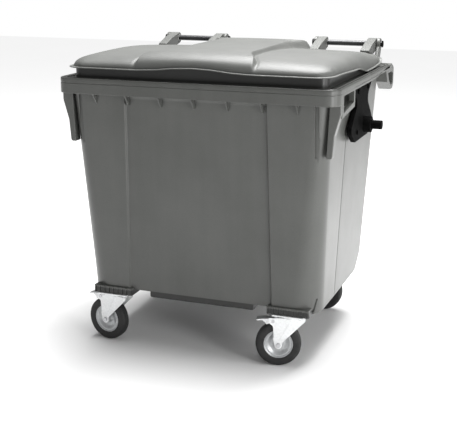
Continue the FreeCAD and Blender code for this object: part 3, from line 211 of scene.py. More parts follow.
def flip_side(item):
    """Mirror image of an object across x = 0, as a new object."""
    vertices = [(-v.co.x, v.co.y, v.co.z) for v in item.data.vertices]
    faces = [tuple(reversed(p.vertices)) for p in item.data.polygons]
    return new_object(item.name + "_twin", vertices, faces)


def pair(item):
    """An object on the right and its mirror image on the left."""
    return [item, flip_side(item)]


def loft(name, rings, wrap=False):
    """Skin over rings with equally many points; wrap joins last to first, else the ends close."""
    count = len(rings[0])
    vertices = [point for ring in rings for point in ring]
    faces = []
    for level in range(len(rings) if wrap else len(rings) - 1):
        here, there = level * count, (level + 1) % len(rings) * count
        for i in range(count):
            j = (i + 1) % count
            faces.append((here + i, here + j, there + j, there + i))
    if not wrap:
        for ring, start in ((rings[0], 0), (rings[-1], (len(rings) - 1) * count)):
            middle = sum((Vector(p) for p in ring), Vector()) / count
            vertices.append(middle)
            faces += [(start + i, start + (i + 1) % count, len(vertices) - 1) for i in range(count)]
    return new_object(name, vertices, faces)


PLANES = {
    "XY": lambda u, v, w: (u, v, w),
    "XZ": lambda u, v, w: (u, w, v),
    "YZ": lambda u, v, w: (w, u, v),
}


def prism(name, plane, outline, low, high, edge=0.0015, segments=2):
    """Slab with an outline in a plane, from low to high across it, its edges rounded."""
    put = PLANES[plane]
    count = len(outline)
    vertices = [put(u, v, low) for u, v in outline] + [put(u, v, high) for u, v in outline]
    faces = [tuple(range(count)), tuple(range(2 * count - 1, count - 1, -1))]
    faces += [(i, (i + 1) % count, count + (i + 1) % count, count + i) for i in range(count)]
    item = new_object(name, vertices, faces)
    return bevel(item, edge, segments) if edge else item


def block(name, low, high, edge=0.002):
    """Box between two corners, its edges rounded."""
    return prism(name, "XY", [(low[0], low[1]), (high[0], low[1]), (high[0], high[1]), (low[0], high[1])],
                 low[2], high[2], edge)


def lathe(name, profile, segments=64):
    """Closed ring turned round the Y axis from (radius, y) pairs."""
    rings = []
    for step in range(segments):
        turn = 2 * math.pi * step / segments
        rings.append([(r * math.cos(turn), y, r * math.sin(turn)) for r, y in profile])
    return loft(name, rings, wrap=True)


def rod(name, axis, radius, low, high, centre, segments=48, edge=0.0):
    """Cylinder along X, Y or Z between two places on that axis, through a centre point."""
    circle = [(radius * math.cos(2 * math.pi * i / segments), radius * math.sin(2 * math.pi * i / segments))
              for i in range(segments)]
    if axis == "X":
        return prism(name, "YZ", [(centre[1] + u, centre[2] + v) for u, v in circle], low, high, edge)
    if axis == "Y":
        return prism(name, "XZ", [(centre[0] + u, centre[2] + v) for u, v in circle], low, high, edge)
    return prism(name, "XY", [(centre[0] + u, centre[1] + v) for u, v in circle], low, high, edge)


def rounded_outline(corners, steps=5):
    """Outline with rounded corners; each corner is (u, v, radius)."""
    points = []
    count = len(corners)
    for i, (u, v, radius) in enumerate(corners):
        here = Vector((u, v))
        before = Vector(corners[i - 1][:2]) - here
        after = Vector(corners[(i + 1) % count][:2]) - here
        if radius <= 0:
            points.append((u, v))
            continue
        half_angle = before.angle(after) / 2
        reach = min(radius / math.tan(half_angle), before.length * 0.49, after.length * 0.49)
        start, end = here + before.normalized() * reach, here + after.normalized() * reach
        for step in range(steps + 1):
            t = step / steps
            points.append(tuple((1 - t) ** 2 * start + 2 * t * (1 - t) * here + t * t * end))
    return points


def smooth(low, high, value):
    """Smooth step from 0 below low to 1 above high."""
    t = min(max((value - low) / (high - low), 0), 1)
    return t * t * (3 - 2 * t)


# ------------------------------------------------------------------ outlines in plan
def plan(half, front, back, corner, front_stations, side_stations):
    """Rounded rectangle seen from above, as (x, y, normal) triples.

    The stations are x places on the right half of the front and rear walls, and y places
    on the right wall."""
    right = [(x, front, Vector((0, -1))) for x in front_stations]
    centre = Vector((half - corner, front + corner))
    for step in range(ARC_STEPS + 1):
        turn = -math.pi / 2 + math.pi / 2 * step / ARC_STEPS
        way = Vector((math.cos(turn), math.sin(turn)))
        right.append((*(centre + corner * way), way))
    right += [(half, y, Vector((1, 0))) for y in side_stations]
    centre = Vector((half - corner, back - corner))
    for step in range(ARC_STEPS + 1):
        turn = math.pi / 2 * step / ARC_STEPS
        way = Vector((math.cos(turn), math.sin(turn)))
        right.append((*(centre + corner * way), way))
    right += [(x, back, Vector((0, 1))) for x in reversed(front_stations)]
    left = [(-x, y, Vector((-n.x, n.y))) for x, y, n in reversed(right)]
    return right + left


def even(last, count):
    """Places from just beside the middle to last, evenly spaced."""
    return [last * (i + 0.5) / count for i in range(count)]


def between(low, high, count):
    """Evenly spaced places strictly between two ends."""
    return [low + (high - low) * (i + 1) / (count + 1) for i in range(count)]


def share(z):
    """How far up the walls a height is: 0 at the foot, 1 at the rim, and no more above it."""
    return min((z - FOOT) / (RIM_TOP - FOOT), 1)


def wall_half(z):
    return TOP_HALF - SIDE_TAPER * (1 - share(z))


def wall_front(z):
    return TOP_FRONT + FRONT_TAPER * (1 - share(z))


def wall_back(z):
    return TOP_BACK - BACK_TAPER * (1 - share(z))


def wall_corner(z):
    """Corner radius of the walls: softer towards the foot."""
    return FOOT_CORNER + (WALL_CORNER - FOOT_CORNER) * share(z)


def panel_half(z):
    """Half the width of the sunk front panel: a little wider at its foot."""
    return PANEL_HALF - PANEL_FLARE * share(z)


# ------------------------------------------------------------------ tub
def wall_ring(z, inset=0.0):
    """Outline of the tub's outer face at a height, with its sunk panel, side creases and arched collar."""
    half, front, back = wall_half(z) - inset, wall_front(z) + inset, wall_back(z) - inset
    corner = wall_corner(z) - inset
    edge = panel_half(z)
    flat = half - corner
    stations = [edge * k for k in (0.15, 0.4, 0.65, 0.9)]
    stations += [edge + offset for offset in (-0.009, -0.005, -0.003, -0.001, 0.001, 0.003, 0.007)]
    stations += [edge + (flat - edge) * k for k in (0.3, 0.6, 0.85)]
    side = between(front + corner, CREASE - 0.008, 5)
    side += [CREASE + offset for offset in (-0.007, -0.0035, 0.0, 0.0035, 0.007)]
    side += between(CREASE + 0.008, back - corner, 9)
    points = []
    lip_fade = 1 - smooth(RIM_TOP - LIP_DROP - 0.02, RIM_TOP - LIP_DROP, z)
    foot_fade = smooth(FOOT, FOOT + 0.03, z) * lip_fade
    for x, y, normal in plan(half, front, back, corner, stations, side):
        z_here = z
        if normal.y < -0.99:
            y += PANEL_SINK * (1 - smooth(edge - 0.005, edge + 0.003, abs(x))) * lip_fade
            z_here = z + ARCH * (1 - smooth(0.02, 0.24, abs(x))) * smooth(RIM_TOP, COLLAR_TOP, z)
        if abs(normal.x) > 0.99:
            x -= math.copysign(CREASE_DEPTH * math.exp(-((y - CREASE) / 0.0035) ** 2) * foot_fade, x)
        points.append((x, y, z_here))
    return points


def wall_solid(name, low, high, inset, front_inset=None):
    """Closed solid inside the walls, moved in by inset, between two heights."""
    rings = []
    for z in (low, high):
        front = wall_front(z) + (front_inset or inset)
        half, back = wall_half(z) - inset, wall_back(z) - inset
        corner = wall_corner(z) - inset
        outline = plan(half, front, back, corner, even(half - corner, 4),
                       between(front + corner, back - corner, 4))
        rings.append([(x, y, z) for x, y, _ in outline])
    return loft(name, rings)


def corner_cut(inside, allowance):
    """Prism that slopes the rear lower corner on the right."""
    start = wall_back(FOOT) - CUT_LENGTH
    rise = CUT_RISE / CUT_LENGTH
    below = FOOT - 0.02
    outline = [(start - allowance, below), (RIM_BACK, below),
               (RIM_BACK, FOOT + rise * (RIM_BACK - start) + allowance),
               (start - allowance, FOOT + allowance / 2)]
    return prism("corner_cut", "YZ", outline, inside, RIM_HALF, 0)


def tub_walls():
    """Outer skin of the tub up to the top of its collar."""
    levels = [(FOOT, 0.008), (FOOT + 0.0015, 0.004), (FOOT + 0.005, 0.0012), (FOOT + 0.010, 0)]
    levels += [(FOOT + 0.01 + (RIM_TOP - LIP_DROP - 0.03 - FOOT) * k / 8, 0) for k in range(1, 9)]
    levels += [(RIM_TOP - LIP_DROP - 0.010, 0), (RIM_TOP - LIP_DROP, 0), (RIM_TOP - PLATE_DROP, 0)]
    levels += [(COLLAR_TOP - rise, COLLAR_INSET + inset) for rise, inset in (
        (0.046, 0), (0.002, 0), (0.0005, 0.0006), (0, 0.002))]
    return loft("tub", [wall_ring(z, inset) for z, inset in levels])


def lip_foot(x, y):
    """Lower edge of the rim's skirt: deep comb lip in front, narrow band behind the side handles."""
    front = 1 - smooth(RIM_FRONT + 0.060, RIM_FRONT + 0.085, y)
    band = RIM_TOP - BAND_DROP + 0.024 * smooth(0.10, 0.44, y)
    return (RIM_TOP - LIP_DROP) * front + band * (1 - front)


def rim():
    """Rim channel: skirt, rounded shoulder, bead and top plate."""
    outer = plan(RIM_HALF, RIM_FRONT, RIM_BACK, RIM_CORNER, even(RIM_HALF - RIM_CORNER, 10),
                 between(RIM_FRONT + RIM_CORNER, RIM_BACK - RIM_CORNER, 60))
    inset = COLLAR_INSET + 0.003
    inner = plan(TOP_HALF - inset, TOP_FRONT + inset, TOP_BACK - inset, WALL_CORNER,
                 even(TOP_HALF - WALL_CORNER, 10),
                 between(TOP_FRONT + WALL_CORNER, TOP_BACK - WALL_CORNER, 60))
    shoulder = [(0.0, -0.024), (0.0018, -0.0225), (0.0018, -0.0185), (0.0, -0.017), (0.0, -0.006),
                (0.0012, -0.0025), (0.0035, -0.0005), (0.007, 0.0), (0.0105, -0.0015), (0.012, -0.006),
                (0.018, -0.006), (0.0195, -0.0015), (0.0225, 0.0), (0.0255, -0.0015), (0.027, -0.006)]
    rings = []
    for (x, y, normal), (ix, iy, _) in zip(outer, inner):
        def at(offset, height):
            return x - normal.x * offset, y - normal.y * offset, height
        foot = lip_foot(x, y)
        ring = [at(0.001, foot), at(0.0, foot + 0.0015)]
        ring += [at(offset, RIM_TOP + drop) for offset, drop in shoulder]
        ring += [(ix, iy, RIM_TOP - PLATE_DROP), (ix, iy, RIM_TOP - PLATE_DROP - RIM_SKIN)]
        ring += [at(RIM_SKIN + 0.003, RIM_TOP - PLATE_DROP - RIM_SKIN), at(RIM_SKIN, RIM_TOP - 0.028)]
        ring += [at(RIM_SKIN, foot + 0.0015), at(RIM_SKIN - 0.001, foot)]
        rings.append(ring)
    return loft("rim", rings, wrap=True)


def comb_gussets():
    """Thin triangles behind the comb lip."""
    gussets = []
    foot = RIM_TOP - COMB_DROP
    for step in range(-3, 4):
        middle = step * COMB_PITCH
        outline = [(RIM_FRONT + 0.0025, RIM_TOP - 0.010), (RIM_FRONT + 0.006, RIM_TOP - LIP_DROP + 0.002),
                   (wall_front(foot) - 0.002, foot), (wall_front(foot) + 0.011, foot),
                   (wall_front(foot) + 0.009, RIM_TOP - 0.010)]
        gussets.append(prism("gusset", "YZ", outline, middle - COMB_HALF, middle + COMB_HALF, 0.0012))
    return gussets


def side_handle():
    """Lifting handle with its pillar, on the right."""
    front, back = RIM_FRONT + 0.079, RIM_FRONT + 0.299
    foot = RIM_TOP - HANDLE_DROP
    top = RIM_TOP - 0.010
    outer = prism("handle", "YZ", rounded_outline([
        (front, foot, 0.012), (back, foot + BAR, 0.014), (back, top, 0), (front, top, 0)]),
        RIM_HALF - BAR, RIM_HALF - 0.0005, 0.0035, 3)
    hole = prism("handle_hole", "YZ", rounded_outline([
        (front + BAR, foot + BAR, 0.008), (back - BAR, foot + 2 * BAR, 0.008),
        (back - BAR, RIM_TOP - BAND_DROP, 0.004), (front + BAR, RIM_TOP - BAND_DROP, 0.004)]),
        RIM_HALF - 2 * BAR, RIM_HALF + BAR, 0)
    loop = combine(outer, [hole], "DIFFERENCE")
    low = RIM_TOP - PILLAR_DROP
    pillar = prism("pillar", "XZ", rounded_outline([
        (wall_half(low) - 0.003, low, 0), (wall_half(low) + BAR, low, 0.010),
        (wall_half(foot) + BAR, foot - 3 * BAR, 0.02), (RIM_HALF - 0.001, foot + BAR, 0.03),
        (RIM_HALF - 0.001, RIM_TOP - PLATE_DROP, 0),
        (wall_half(RIM_TOP) - 0.003, RIM_TOP - PLATE_DROP, 0)]),
        front - BAR, front + BAR, 0.004, 3)
    web = block("web", (wall_half(foot) - 0.003, back - WALL, foot + BAR),
                (RIM_HALF - BAR / 2, back, RIM_TOP - PLATE_DROP), 0.0015)
    return [loop, pillar, web]


def rear_handle():
    """Corner handle at the rear, on the right."""
    top, foot = RIM_TOP - BAND_DROP / 2, RIM_TOP - HANDLE_DROP
    back = TUB_HIGH.y
    start = back - 0.183
    inside = RIM_HALF - 0.060
    outer = prism("corner_handle", "YZ", rounded_outline([
        (start, top, 0), (start + 2 * BAR, foot + 2 * BAR, 0.02), (RIM_BACK - BAR, foot, 0.02),
        (back - BAR, foot, 0.02), (back, foot + BAR, 0.02), (back, RIM_TOP - BAR, 0.02),
        (RIM_BACK - 0.0025, RIM_TOP - 0.0005, 0)]), inside, RIM_HALF - 0.0005, 0.004, 3)
    hole = prism("corner_handle_hole", "YZ", rounded_outline([
        (start + 2 * BAR, top - BAR, 0.006), (start + 3 * BAR, foot + 2.5 * BAR, 0.01),
        (RIM_BACK - BAR, foot + BAR, 0.01), (back - 1.4 * BAR, foot + BAR, 0.006),
        (back - BAR, foot + 1.4 * BAR, 0.006), (back - BAR, RIM_TOP - 2.2 * BAR, 0.006),
        (RIM_BACK - BAR, top - BAR, 0.01)]), inside - BAR, RIM_HALF + BAR, 0)
    return combine(outer, [hole], "DIFFERENCE")


def trunnion_pad():
    """Flat pad on the side wall that the bracket is bolted to, on the right."""
    low, high = BRACKET_LOW.z + BAR, BRACKET_HIGH.z - RIM_SKIN
    middle = (BRACKET_LOW.y + BRACKET_HIGH.y) / 2
    return prism("trunnion_pad", "XZ", [
        (wall_half(low) - 0.003, low), (BRACKET_LOW.x - 0.0002, low), (BRACKET_LOW.x - 0.0002, high),
        (wall_half(high) - 0.003, high)], middle - 0.108, middle + 0.108, 0.002)


def arc(centre, radius, start, end, steps):
    """Points on a circle from one angle to another, in degrees."""
    return [(centre[0] + radius * math.cos(math.radians(start + (end - start) * i / steps)),
             centre[1] + radius * math.sin(math.radians(start + (end - start) * i / steps)))
            for i in range(steps + 1)]


def hinge_post(inner):
    """Post that holds a hinge tube, from its inner face, on the right."""
    outline = [(TOP_BACK, RIM_TOP - 0.004), (RIM_BACK - 0.001, RIM_TOP - 0.004),
               (RIM_BACK - 0.001, RIM_TOP + 0.004)]
    outline += arc((HINGE.y, HINGE.z), HUB, -20, 200, 22)
    return prism("post", "YZ", outline, inner, inner + POST_WIDE, 0.003, 3)


def caster_seat(y):
    """Ribbed block under the floor that a caster is bolted to, on the right."""
    middle = JOINTS["swivel_front_right"]["pos_m"][0]
    half, deep = 0.095, 0.046
    core = block("seat", (middle - half, y - deep + 0.004, PLATE_TOP),
                 (middle + half, y + deep - 0.004, FLOOR + 0.003), 0.002)
    ribs = []
    for step in range(9):
        x = middle - half + 0.006 + (2 * half - 0.012) * step / 8
        ribs.append(block("rib", (x - 0.003, y - deep, PLATE_TOP + 0.001),
                          (x + 0.003, y + deep, FLOOR + 0.003), 0.0012))
    return [core] + ribs


def tub():
    """The whole moulding as one closed mesh."""
    hull = tub_walls()
    front_cut = block("front_foot", (-RIM_HALF, RIM_FRONT, FOOT - 0.02),
                      (RIM_HALF, wall_front(FOOT) + 0.03, FRONT_FOOT), 0)
    slot_top = RIM_TOP - LIP_DROP + 0.01
    slot_low = RIM_TOP - PILLAR_DROP
    slot_x = TOP_HALF - SLOT_INSET
    slot = prism("slot", "YZ", [
        (wall_front(slot_low) - 0.02, slot_low), (wall_front(slot_low) + PANEL_SINK, slot_low),
        (wall_front(slot_top) + PANEL_SINK, slot_top), (wall_front(slot_top) - 0.02, slot_top)],
        slot_x - SLOT_HALF, slot_x + SLOT_HALF, 0)
    cut_inside = TOP_HALF - SIDE_TAPER - CUT_INSET
    notch_y = wall_front(FOOT) + 0.040
    notch = prism("notch", "YZ", [
        (notch_y - 0.006, FOOT + 0.012), (notch_y + 0.002, FOOT + 0.012),
        (notch_y + 0.012, FOOT + 0.072), (notch_y + 0.004, FOOT + 0.072)],
        wall_half(FOOT) - 0.040, RIM_HALF, 0)
    combine(hull, [front_cut, *pair(slot), *pair(notch), *pair(corner_cut(cut_inside, 0))], "DIFFERENCE")
    parts = [rim(), *comb_gussets()]
    for item in side_handle() + [rear_handle(), trunnion_pad()]:
        parts += pair(item)
    for inner in (TUBE_ENDS[0] + POST_INSET, TUBE_ENDS[1] - POST_INSET - POST_WIDE):
        parts += pair(hinge_post(inner))
    for y in (JOINTS["swivel_front_right"]["pos_m"][1], JOINTS["swivel_rear_right"]["pos_m"][1]):
        for item in caster_seat(y):
            parts += pair(item)
    front = wall_front(FOOT) + 0.023
    pan = block("pan", (-PAN_HALF, front, PAN_FOOT), (PAN_HALF, PAN_BACK, FLOOR + 0.003), 0.008)
    pan_inside = block("pan_inside", (WALL - PAN_HALF, front + WALL, PAN_FOOT + WALL),
                       (PAN_HALF - WALL, PAN_BACK - WALL, FLOOR + 0.012), 0)
    guard_x = cut_inside - WALL
    cavity = combine(wall_solid("cavity", FLOOR + WALL, RIM_TOP - LIP_DROP, WALL, WALL + PANEL_SINK),
                     pair(corner_cut(guard_x, 0.009)), "DIFFERENCE")
    mouth = wall_solid("mouth", RIM_TOP - LIP_DROP - 0.01, COLLAR_TOP + 0.03, WALL + COLLAR_INSET)
    hollow = combine(wall_solid("hollow", FOOT - 0.006, FLOOR, WALL, WALL + PANEL_SINK),
                     pair(corner_cut(guard_x, 0.009)), "DIFFERENCE")
    combine(hull, [hollow], "DIFFERENCE")
    combine(hull, parts + [pan])
    drain = (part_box("drain_plug")[0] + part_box("drain_plug")[1]) / 2
    drain_hole = rod("drain_hole", "Y", DRAIN_RADIUS, drain.y - 0.04, drain.y + 0.04, drain)
    tube_hole = rod("tube_hole", "X", TUBE_RADIUS + TUBE_GAP, *TUBE_ENDS, HINGE)
    combine(hull, [cavity, mouth, pan_inside, drain_hole, *pair(tube_hole)], "DIFFERENCE")
    return shade(hull)


# ------------------------------------------------------------------ lid
def ridge_half(y):
    """Half the width of the raised middle: wide in front, waisted, flared at the hinges."""
    front = 1 - smooth(LID_FRONT + 0.02, LID_FRONT + 0.27, y)
    rear = smooth(0.25, 0.33, y)
    return 0.186 + 0.076 * front + 0.045 * rear


def ridge_step(y):
    """Half the width of the raised middle's sloping side."""
    return 0.009 + 0.010 * smooth(-0.1, 0.3, y)


def edge_height(x, y):
    """Lower edge of the lid: arched in front, dropping in a slow S along the sides."""
    side = 0.012 * smooth(-0.45, -0.05, y) + 0.028 * smooth(-0.08, 0.12, y) - 0.010 * smooth(0.2, 0.46, y)
    front = 1 - smooth(LID_FRONT + 0.02, LID_FRONT + 0.12, y)
    arch = ARCH * (1 - smooth(0.02, 0.24, abs(x))) * front
    back = 0.012 * smooth(LID_BACK - 0.08, LID_BACK - 0.02, y) * (1 - smooth(0.42, 0.58, abs(x)))
    return COLLAR_TOP - 0.001 - side + arch + back


def lid_top(x, y):
    """Height of the lid's upper face: rounded flanks up to two lobes and a raised middle."""
    past = max(y + 0.15, 0)
    ahead = min(y + 0.15, 0)
    lobe = LOBE_TOP - 0.122 * past ** 2 - 0.080 * ahead ** 2 + 0.010 * (1 - (x / LID_HALF) ** 2)
    fall = max(1 - (FLANK_BACK - y) / 0.19, 0)
    middle = MIDDLE_TOP + 0.004 * (1 - (x / 0.26) ** 2) - 0.032 * (1 - math.sqrt(1 - fall ** 2))
    half = ridge_half(y)
    step = ridge_step(y)
    groove = 0.005 * math.exp(-((abs(x) - half - step) / 0.012) ** 2)
    crown = lobe - groove + (middle - lobe) * (1 - smooth(half - step, half + step, abs(x)))
    low = edge_height(x, y) + LIP_THICK
    side = max(1 - (FLANK_HALF - abs(x)) / SIDE_ROUND, 0)
    front = max(1 - (y - FLANK_FRONT) / FRONT_ROUND, 0)
    back = max(1 - (FLANK_BACK - y) / BACK_ROUND, 0)
    fullness = 1 - min(side ** 2.2 + front ** 2.2 + back ** 2.2, 1)
    return low + (crown - low) * fullness ** 0.45


def lid_rows():
    """Rows of (x, y) points over the lid, bunched at its edges and along the raised middle."""
    rows = [FLANK_FRONT + offset for offset in CLUSTER + (0.08, 0.1, 0.12)]
    rows += between(FLANK_FRONT + 0.12, FLANK_BACK - 0.19, 26)
    rows += [FLANK_BACK - offset for offset in (0.19, 0.165, 0.14, 0.115, 0.09, *reversed(CLUSTER))]
    lines = []
    for y in rows:
        gap = max(FLANK_CORNER - (y - FLANK_FRONT), FLANK_CORNER - (FLANK_BACK - y), 0)
        reach = FLANK_HALF - FLANK_CORNER + math.sqrt(max(FLANK_CORNER ** 2 - gap ** 2, 0))
        half = ridge_half(y)
        step = ridge_step(y)
        marks = [0, half * 0.33, half * 0.66]
        marks += [half + step * k for k in (-1.0, -0.6, -0.2, 0.2, 0.6, 1.0)]
        marks += [half + step + offset for offset in (0.005, 0.010, 0.018)]
        marks += between(half + step + 0.018, reach - CLUSTER[-1], 4)
        marks += [reach - offset for offset in reversed(CLUSTER)]
        lines.append([(x, y) for x in [-m for m in reversed(marks[1:])] + marks])
    return lines


def lid_shell():
    """Lid's sheet as a closed solid: upper face, turned-out lip and inner face."""
    lines = lid_rows()
    across, along = len(lines[0]), len(lines)
    upper = [(x, y, lid_top(x, y)) for line in lines for x, y in line]
    shrink_x, shrink_y = 1 - LID_SKIN / FLANK_HALF, 1 - 2 * LID_SKIN / (FLANK_BACK - FLANK_FRONT)
    middle_y = (FLANK_FRONT + FLANK_BACK) / 2
    inner = [(x * shrink_x, middle_y + (y - middle_y) * shrink_y, z - LID_SKIN) for x, y, z in upper]
    vertices = upper + inner
    faces = []
    for j in range(along - 1):
        for i in range(across - 1):
            a = j * across + i
            quad = (a, a + 1, a + across + 1, a + across)
            faces.append(quad)
            faces.append(tuple(len(upper) + v for v in reversed(quad)))
    border = list(range(across)) + [j * across + across - 1 for j in range(1, along)]
    border += [(along - 1) * across + i for i in range(across - 2, -1, -1)]
    border += [j * across for j in range(along - 2, 0, -1)]
    core_x, core_front, core_back = (FLANK_HALF - FLANK_CORNER, FLANK_FRONT + FLANK_CORNER,
                                     FLANK_BACK - FLANK_CORNER)
    rings = [border]
    for out, down in ((LIP * 0.85, 0.0), (LIP, 0.0012), (LIP, 0.0034), (LIP * 0.85, LIP_THICK)):
        ring = []
        for index in border:
            x, y, z = upper[index]
            way = Vector((x - min(max(x, -core_x), core_x), y - min(max(y, core_front), core_back)))
            way.normalize()
            ring.append(len(vertices))
            vertices.append((x + way.x * out, y + way.y * out, z - down))
        rings.append(ring)
    rings.append([len(upper) + index for index in border])
    for first, second in zip(rings, rings[1:]):
        for k in range(len(border)):
            n = (k + 1) % len(border)
            faces.append((first[n], first[k], second[k], second[n]))
    return new_object("lid", vertices, faces)


def lid_arm(inner):
    """Arm from the lid to a hinge tube, from its inner face, on the right."""
    outline = [(LID_BACK - 0.120, RIM_TOP + 0.062), (LID_BACK - 0.014, RIM_TOP + 0.046)]
    outline += arc((HINGE.y, HINGE.z), HUB, -80, 110, 20)
    outline += [(LID_BACK - 0.042, RIM_TOP + 0.098), (LID_BACK - 0.120, RIM_TOP + 0.072)]
    return prism("arm", "YZ", outline, inner, inner + ARM_WIDE, 0.003, 3)


def lid():
    """The lid with its four arms and their bush holes, as one closed mesh."""
    shell = lid_shell()
    arms = []
    for inner in (TUBE_ENDS[0] + POST_INSET + POST_WIDE + ARM_GAP,
                  TUBE_ENDS[1] - POST_INSET - POST_WIDE - ARM_GAP - ARM_WIDE):
        arms += pair(lid_arm(inner))
    combine(shell, arms)
    hole = rod("bush_hole", "X", TUBE_RADIUS + BUSH_WALL, *TUBE_ENDS, HINGE)
    combine(shell, pair(hole), "DIFFERENCE")
    return shade(shell, 38)


# ------------------------------------------------------------------ trunnion brackets
def trunnion_bracket():
    """Vase-shaped bracket with a round boss and a hole for the pin, on the right."""
    middle = (BRACKET_LOW.y + BRACKET_HIGH.y) / 2
    rise = BRACKET_HIGH.z - BRACKET_LOW.z
    wide, neck = (BRACKET_HIGH.y - BRACKET_LOW.y) / 2, 0.108
    right = [(wide * 0.62, 0, 0.03), (wide, 0.2, 0.03), (wide, 0.3, 0.03), (neck, 0.64, 0.05),
             (neck, 0.78, 0.05), (wide * 0.9, 1, 0.01)]
    corners = [(middle + u, BRACKET_LOW.z + v * rise, r) for u, v, r in right]
    corners += [(middle - u, BRACKET_LOW.z + v * rise, r) for u, v, r in reversed(right)]
    face = BRACKET_LOW.x + 0.020
    plate = prism("trunnion_bracket", "YZ", rounded_outline(corners), BRACKET_LOW.x, face, 0.004, 3)
    pin = (0, (PIN_LOW.y + PIN_HIGH.y) / 2, (PIN_LOW.z + PIN_HIGH.z) / 2)
    boss = rod("boss", "X", BOSS_RADIUS, BRACKET_LOW.x + 0.002, BRACKET_HIGH.x, pin, 48, 0.003)
    hole = rod("pin_hole", "X", PIN_HOLE_RADIUS, face, BRACKET_HIGH.x + 0.01, pin)
    return shade(combine(combine(plate, [boss]), [hole], "DIFFERENCE"))


# ------------------------------------------------------------------ casters
def caster_frame(corner):
    """Matrix from a caster's own frame, with its swivel on Z and its trail along +X."""
    swivel = Vector(JOINTS["swivel_" + corner]["pos_m"])
    wheel = Vector(JOINTS["wheel_spin_" + corner]["pos_m"])
    heading = math.atan2(wheel.y - swivel.y, wheel.x - swivel.x)
    return Matrix.Translation((swivel.x, swivel.y, 0)) @ Matrix.Rotation(heading, 4, "Z")


def mirror_profile(points):
    """Half a profile and its mirror image across the wheel."""
    return points + [(r, -y) for r, y in reversed(points)]


def tyre():
    """Solid tyre: domed tread with two shallow grooves, rounded shoulders, ribbed side wall."""
    half = TYRE_HALF
    side = [(TYRE_BORE, half * 0.84), (TYRE_BORE + 0.0015, half * 0.93), (TYRE_BORE + 0.006, half * 0.99),
            (TYRE_BORE + 0.0085, half * 0.965), (TYRE_BORE + 0.011, half * 0.99),
            (RADIUS - 0.017, half), (RADIUS - 0.010, half * 0.965), (RADIUS - 0.0045, half * 0.86),
            (RADIUS - 0.0015, half * 0.70), (RADIUS - 0.0004, half * 0.50), (RADIUS - 0.0002, half * 0.36),
            (RADIUS - 0.0018, half * 0.32), (RADIUS - 0.0018, half * 0.26), (RADIUS, half * 0.22)]
    return lathe("tyre", mirror_profile(side), 96)


def wheel_centre():
    """Pressed disc with hub, dish and rolled rim."""
    side = [(0.010, TYRE_HALF), (0.0175, TYRE_HALF), (0.019, TYRE_HALF - 0.0015), (0.0195, 0.013),
            (0.023, 0.009), (0.030, 0.0075), (0.037, 0.0085), (0.044, 0.0125), (0.050, 0.0160),
            (0.0545, 0.0175), (0.0575, 0.0170), (0.0595, 0.0185), (0.0615, 0.0205),
            (TYRE_BORE - 0.0003, 0.0205), (TYRE_BORE, 0.0195)]
    return lathe("wheel_centre", mirror_profile(side), 72)


def fork(with_brake):
    """Pressed fork: domed crown, creased legs with turned edges, ears for the pedal."""
    reach = TRAIL + (0.42 if with_brake else 0.2) * RADIUS
    lead = -0.066
    crown_foot = FORK_TOP - 0.004
    legs = []
    for low, high in ((FORK_IN, FORK_OUT), (-FORK_OUT, -FORK_IN)):
        outline = rounded_outline([
            (lead, FORK_TOP - 0.001, 0), (lead, crown_foot - 0.008, 0.006),
            (TRAIL - 0.017, RADIUS + 0.012, 0.03), (TRAIL - 0.0165, RADIUS, 0.0)])
        outline += arc((TRAIL, RADIUS), 0.017, 190, 350, 14)
        outline += rounded_outline([
            (TRAIL + 0.018, RADIUS + 0.012, 0.03), (TRAIL + 0.024, 1.88 * RADIUS, 0.012),
            (reach, 2.02 * RADIUS, 0.006), (reach, FORK_TOP - 0.001, 0.0)])
        legs.append(prism("leg", "XZ", outline, low, high, 0.0012))
        side = 1 if low > 0 else -1
        near, far = sorted((side * FORK_IN, side * (FORK_OUT + 0.0012)))
        legs.append(prism("crease", "XZ", [
            (lead + 0.060, crown_foot - 0.006), (lead + 0.064, crown_foot - 0.006),
            (TRAIL - 0.004, RADIUS + 0.022), (TRAIL - 0.008, RADIUS + 0.022)], near, far, 0.0006))
    crown = block("fork", (lead, -FORK_OUT, crown_foot), (TRAIL + 0.02, FORK_OUT, FORK_TOP), 0.0015)
    dome = rod("dome", "Z", 0.038, crown_foot - 0.001, FORK_TOP, (0, 0, 0), 64, 0.0015)
    combine(crown, [dome, *legs])
    hole = rod("king_hole", "Z", 0.0062, crown_foot - 0.01, FORK_TOP + 0.01, (0, 0, 0), 32)
    return combine(crown, [hole], "DIFFERENCE")


def place_copy(item, matrix, name):
    """Copy of a mesh object, its mesh moved by a matrix."""
    mesh = item.data.copy()
    mesh.transform(matrix)
    copy = bpy.data.objects.new(name, mesh)
    bpy.context.scene.collection.objects.link(copy)
    return shade(copy)


# ------------------------------------------------------------------ materials
def material(name):
    """Empty node material; returns it, its node tree and its shader."""
    made = bpy.data.materials.new(name)
    made.use_nodes = True
    return made, made.node_tree, made.node_tree.nodes["Principled BSDF"]


def object_place(tree):
    """The point's place in its object's own coordinates."""
    return tree.nodes.new("ShaderNodeTexCoord").outputs["Object"]


def noise(tree, scale, detail=4.0, roughness=0.55, stretch=None):
    """Noise over object coordinates; stretch scales the axes."""
    texture = tree.nodes.new("ShaderNodeTexNoise")
    texture.inputs["Scale"].default_value = scale
    texture.inputs["Detail"].default_value = detail
    texture.inputs["Roughness"].default_value = roughness
    source = object_place(tree)
    if stretch:
        mapping = tree.nodes.new("ShaderNodeMapping")
        mapping.inputs["Scale"].default_value = stretch
        tree.links.new(source, mapping.inputs["Vector"])
        source = mapping.outputs["Vector"]
    tree.links.new(source, texture.inputs["Vector"])
    return texture.outputs["Fac"]


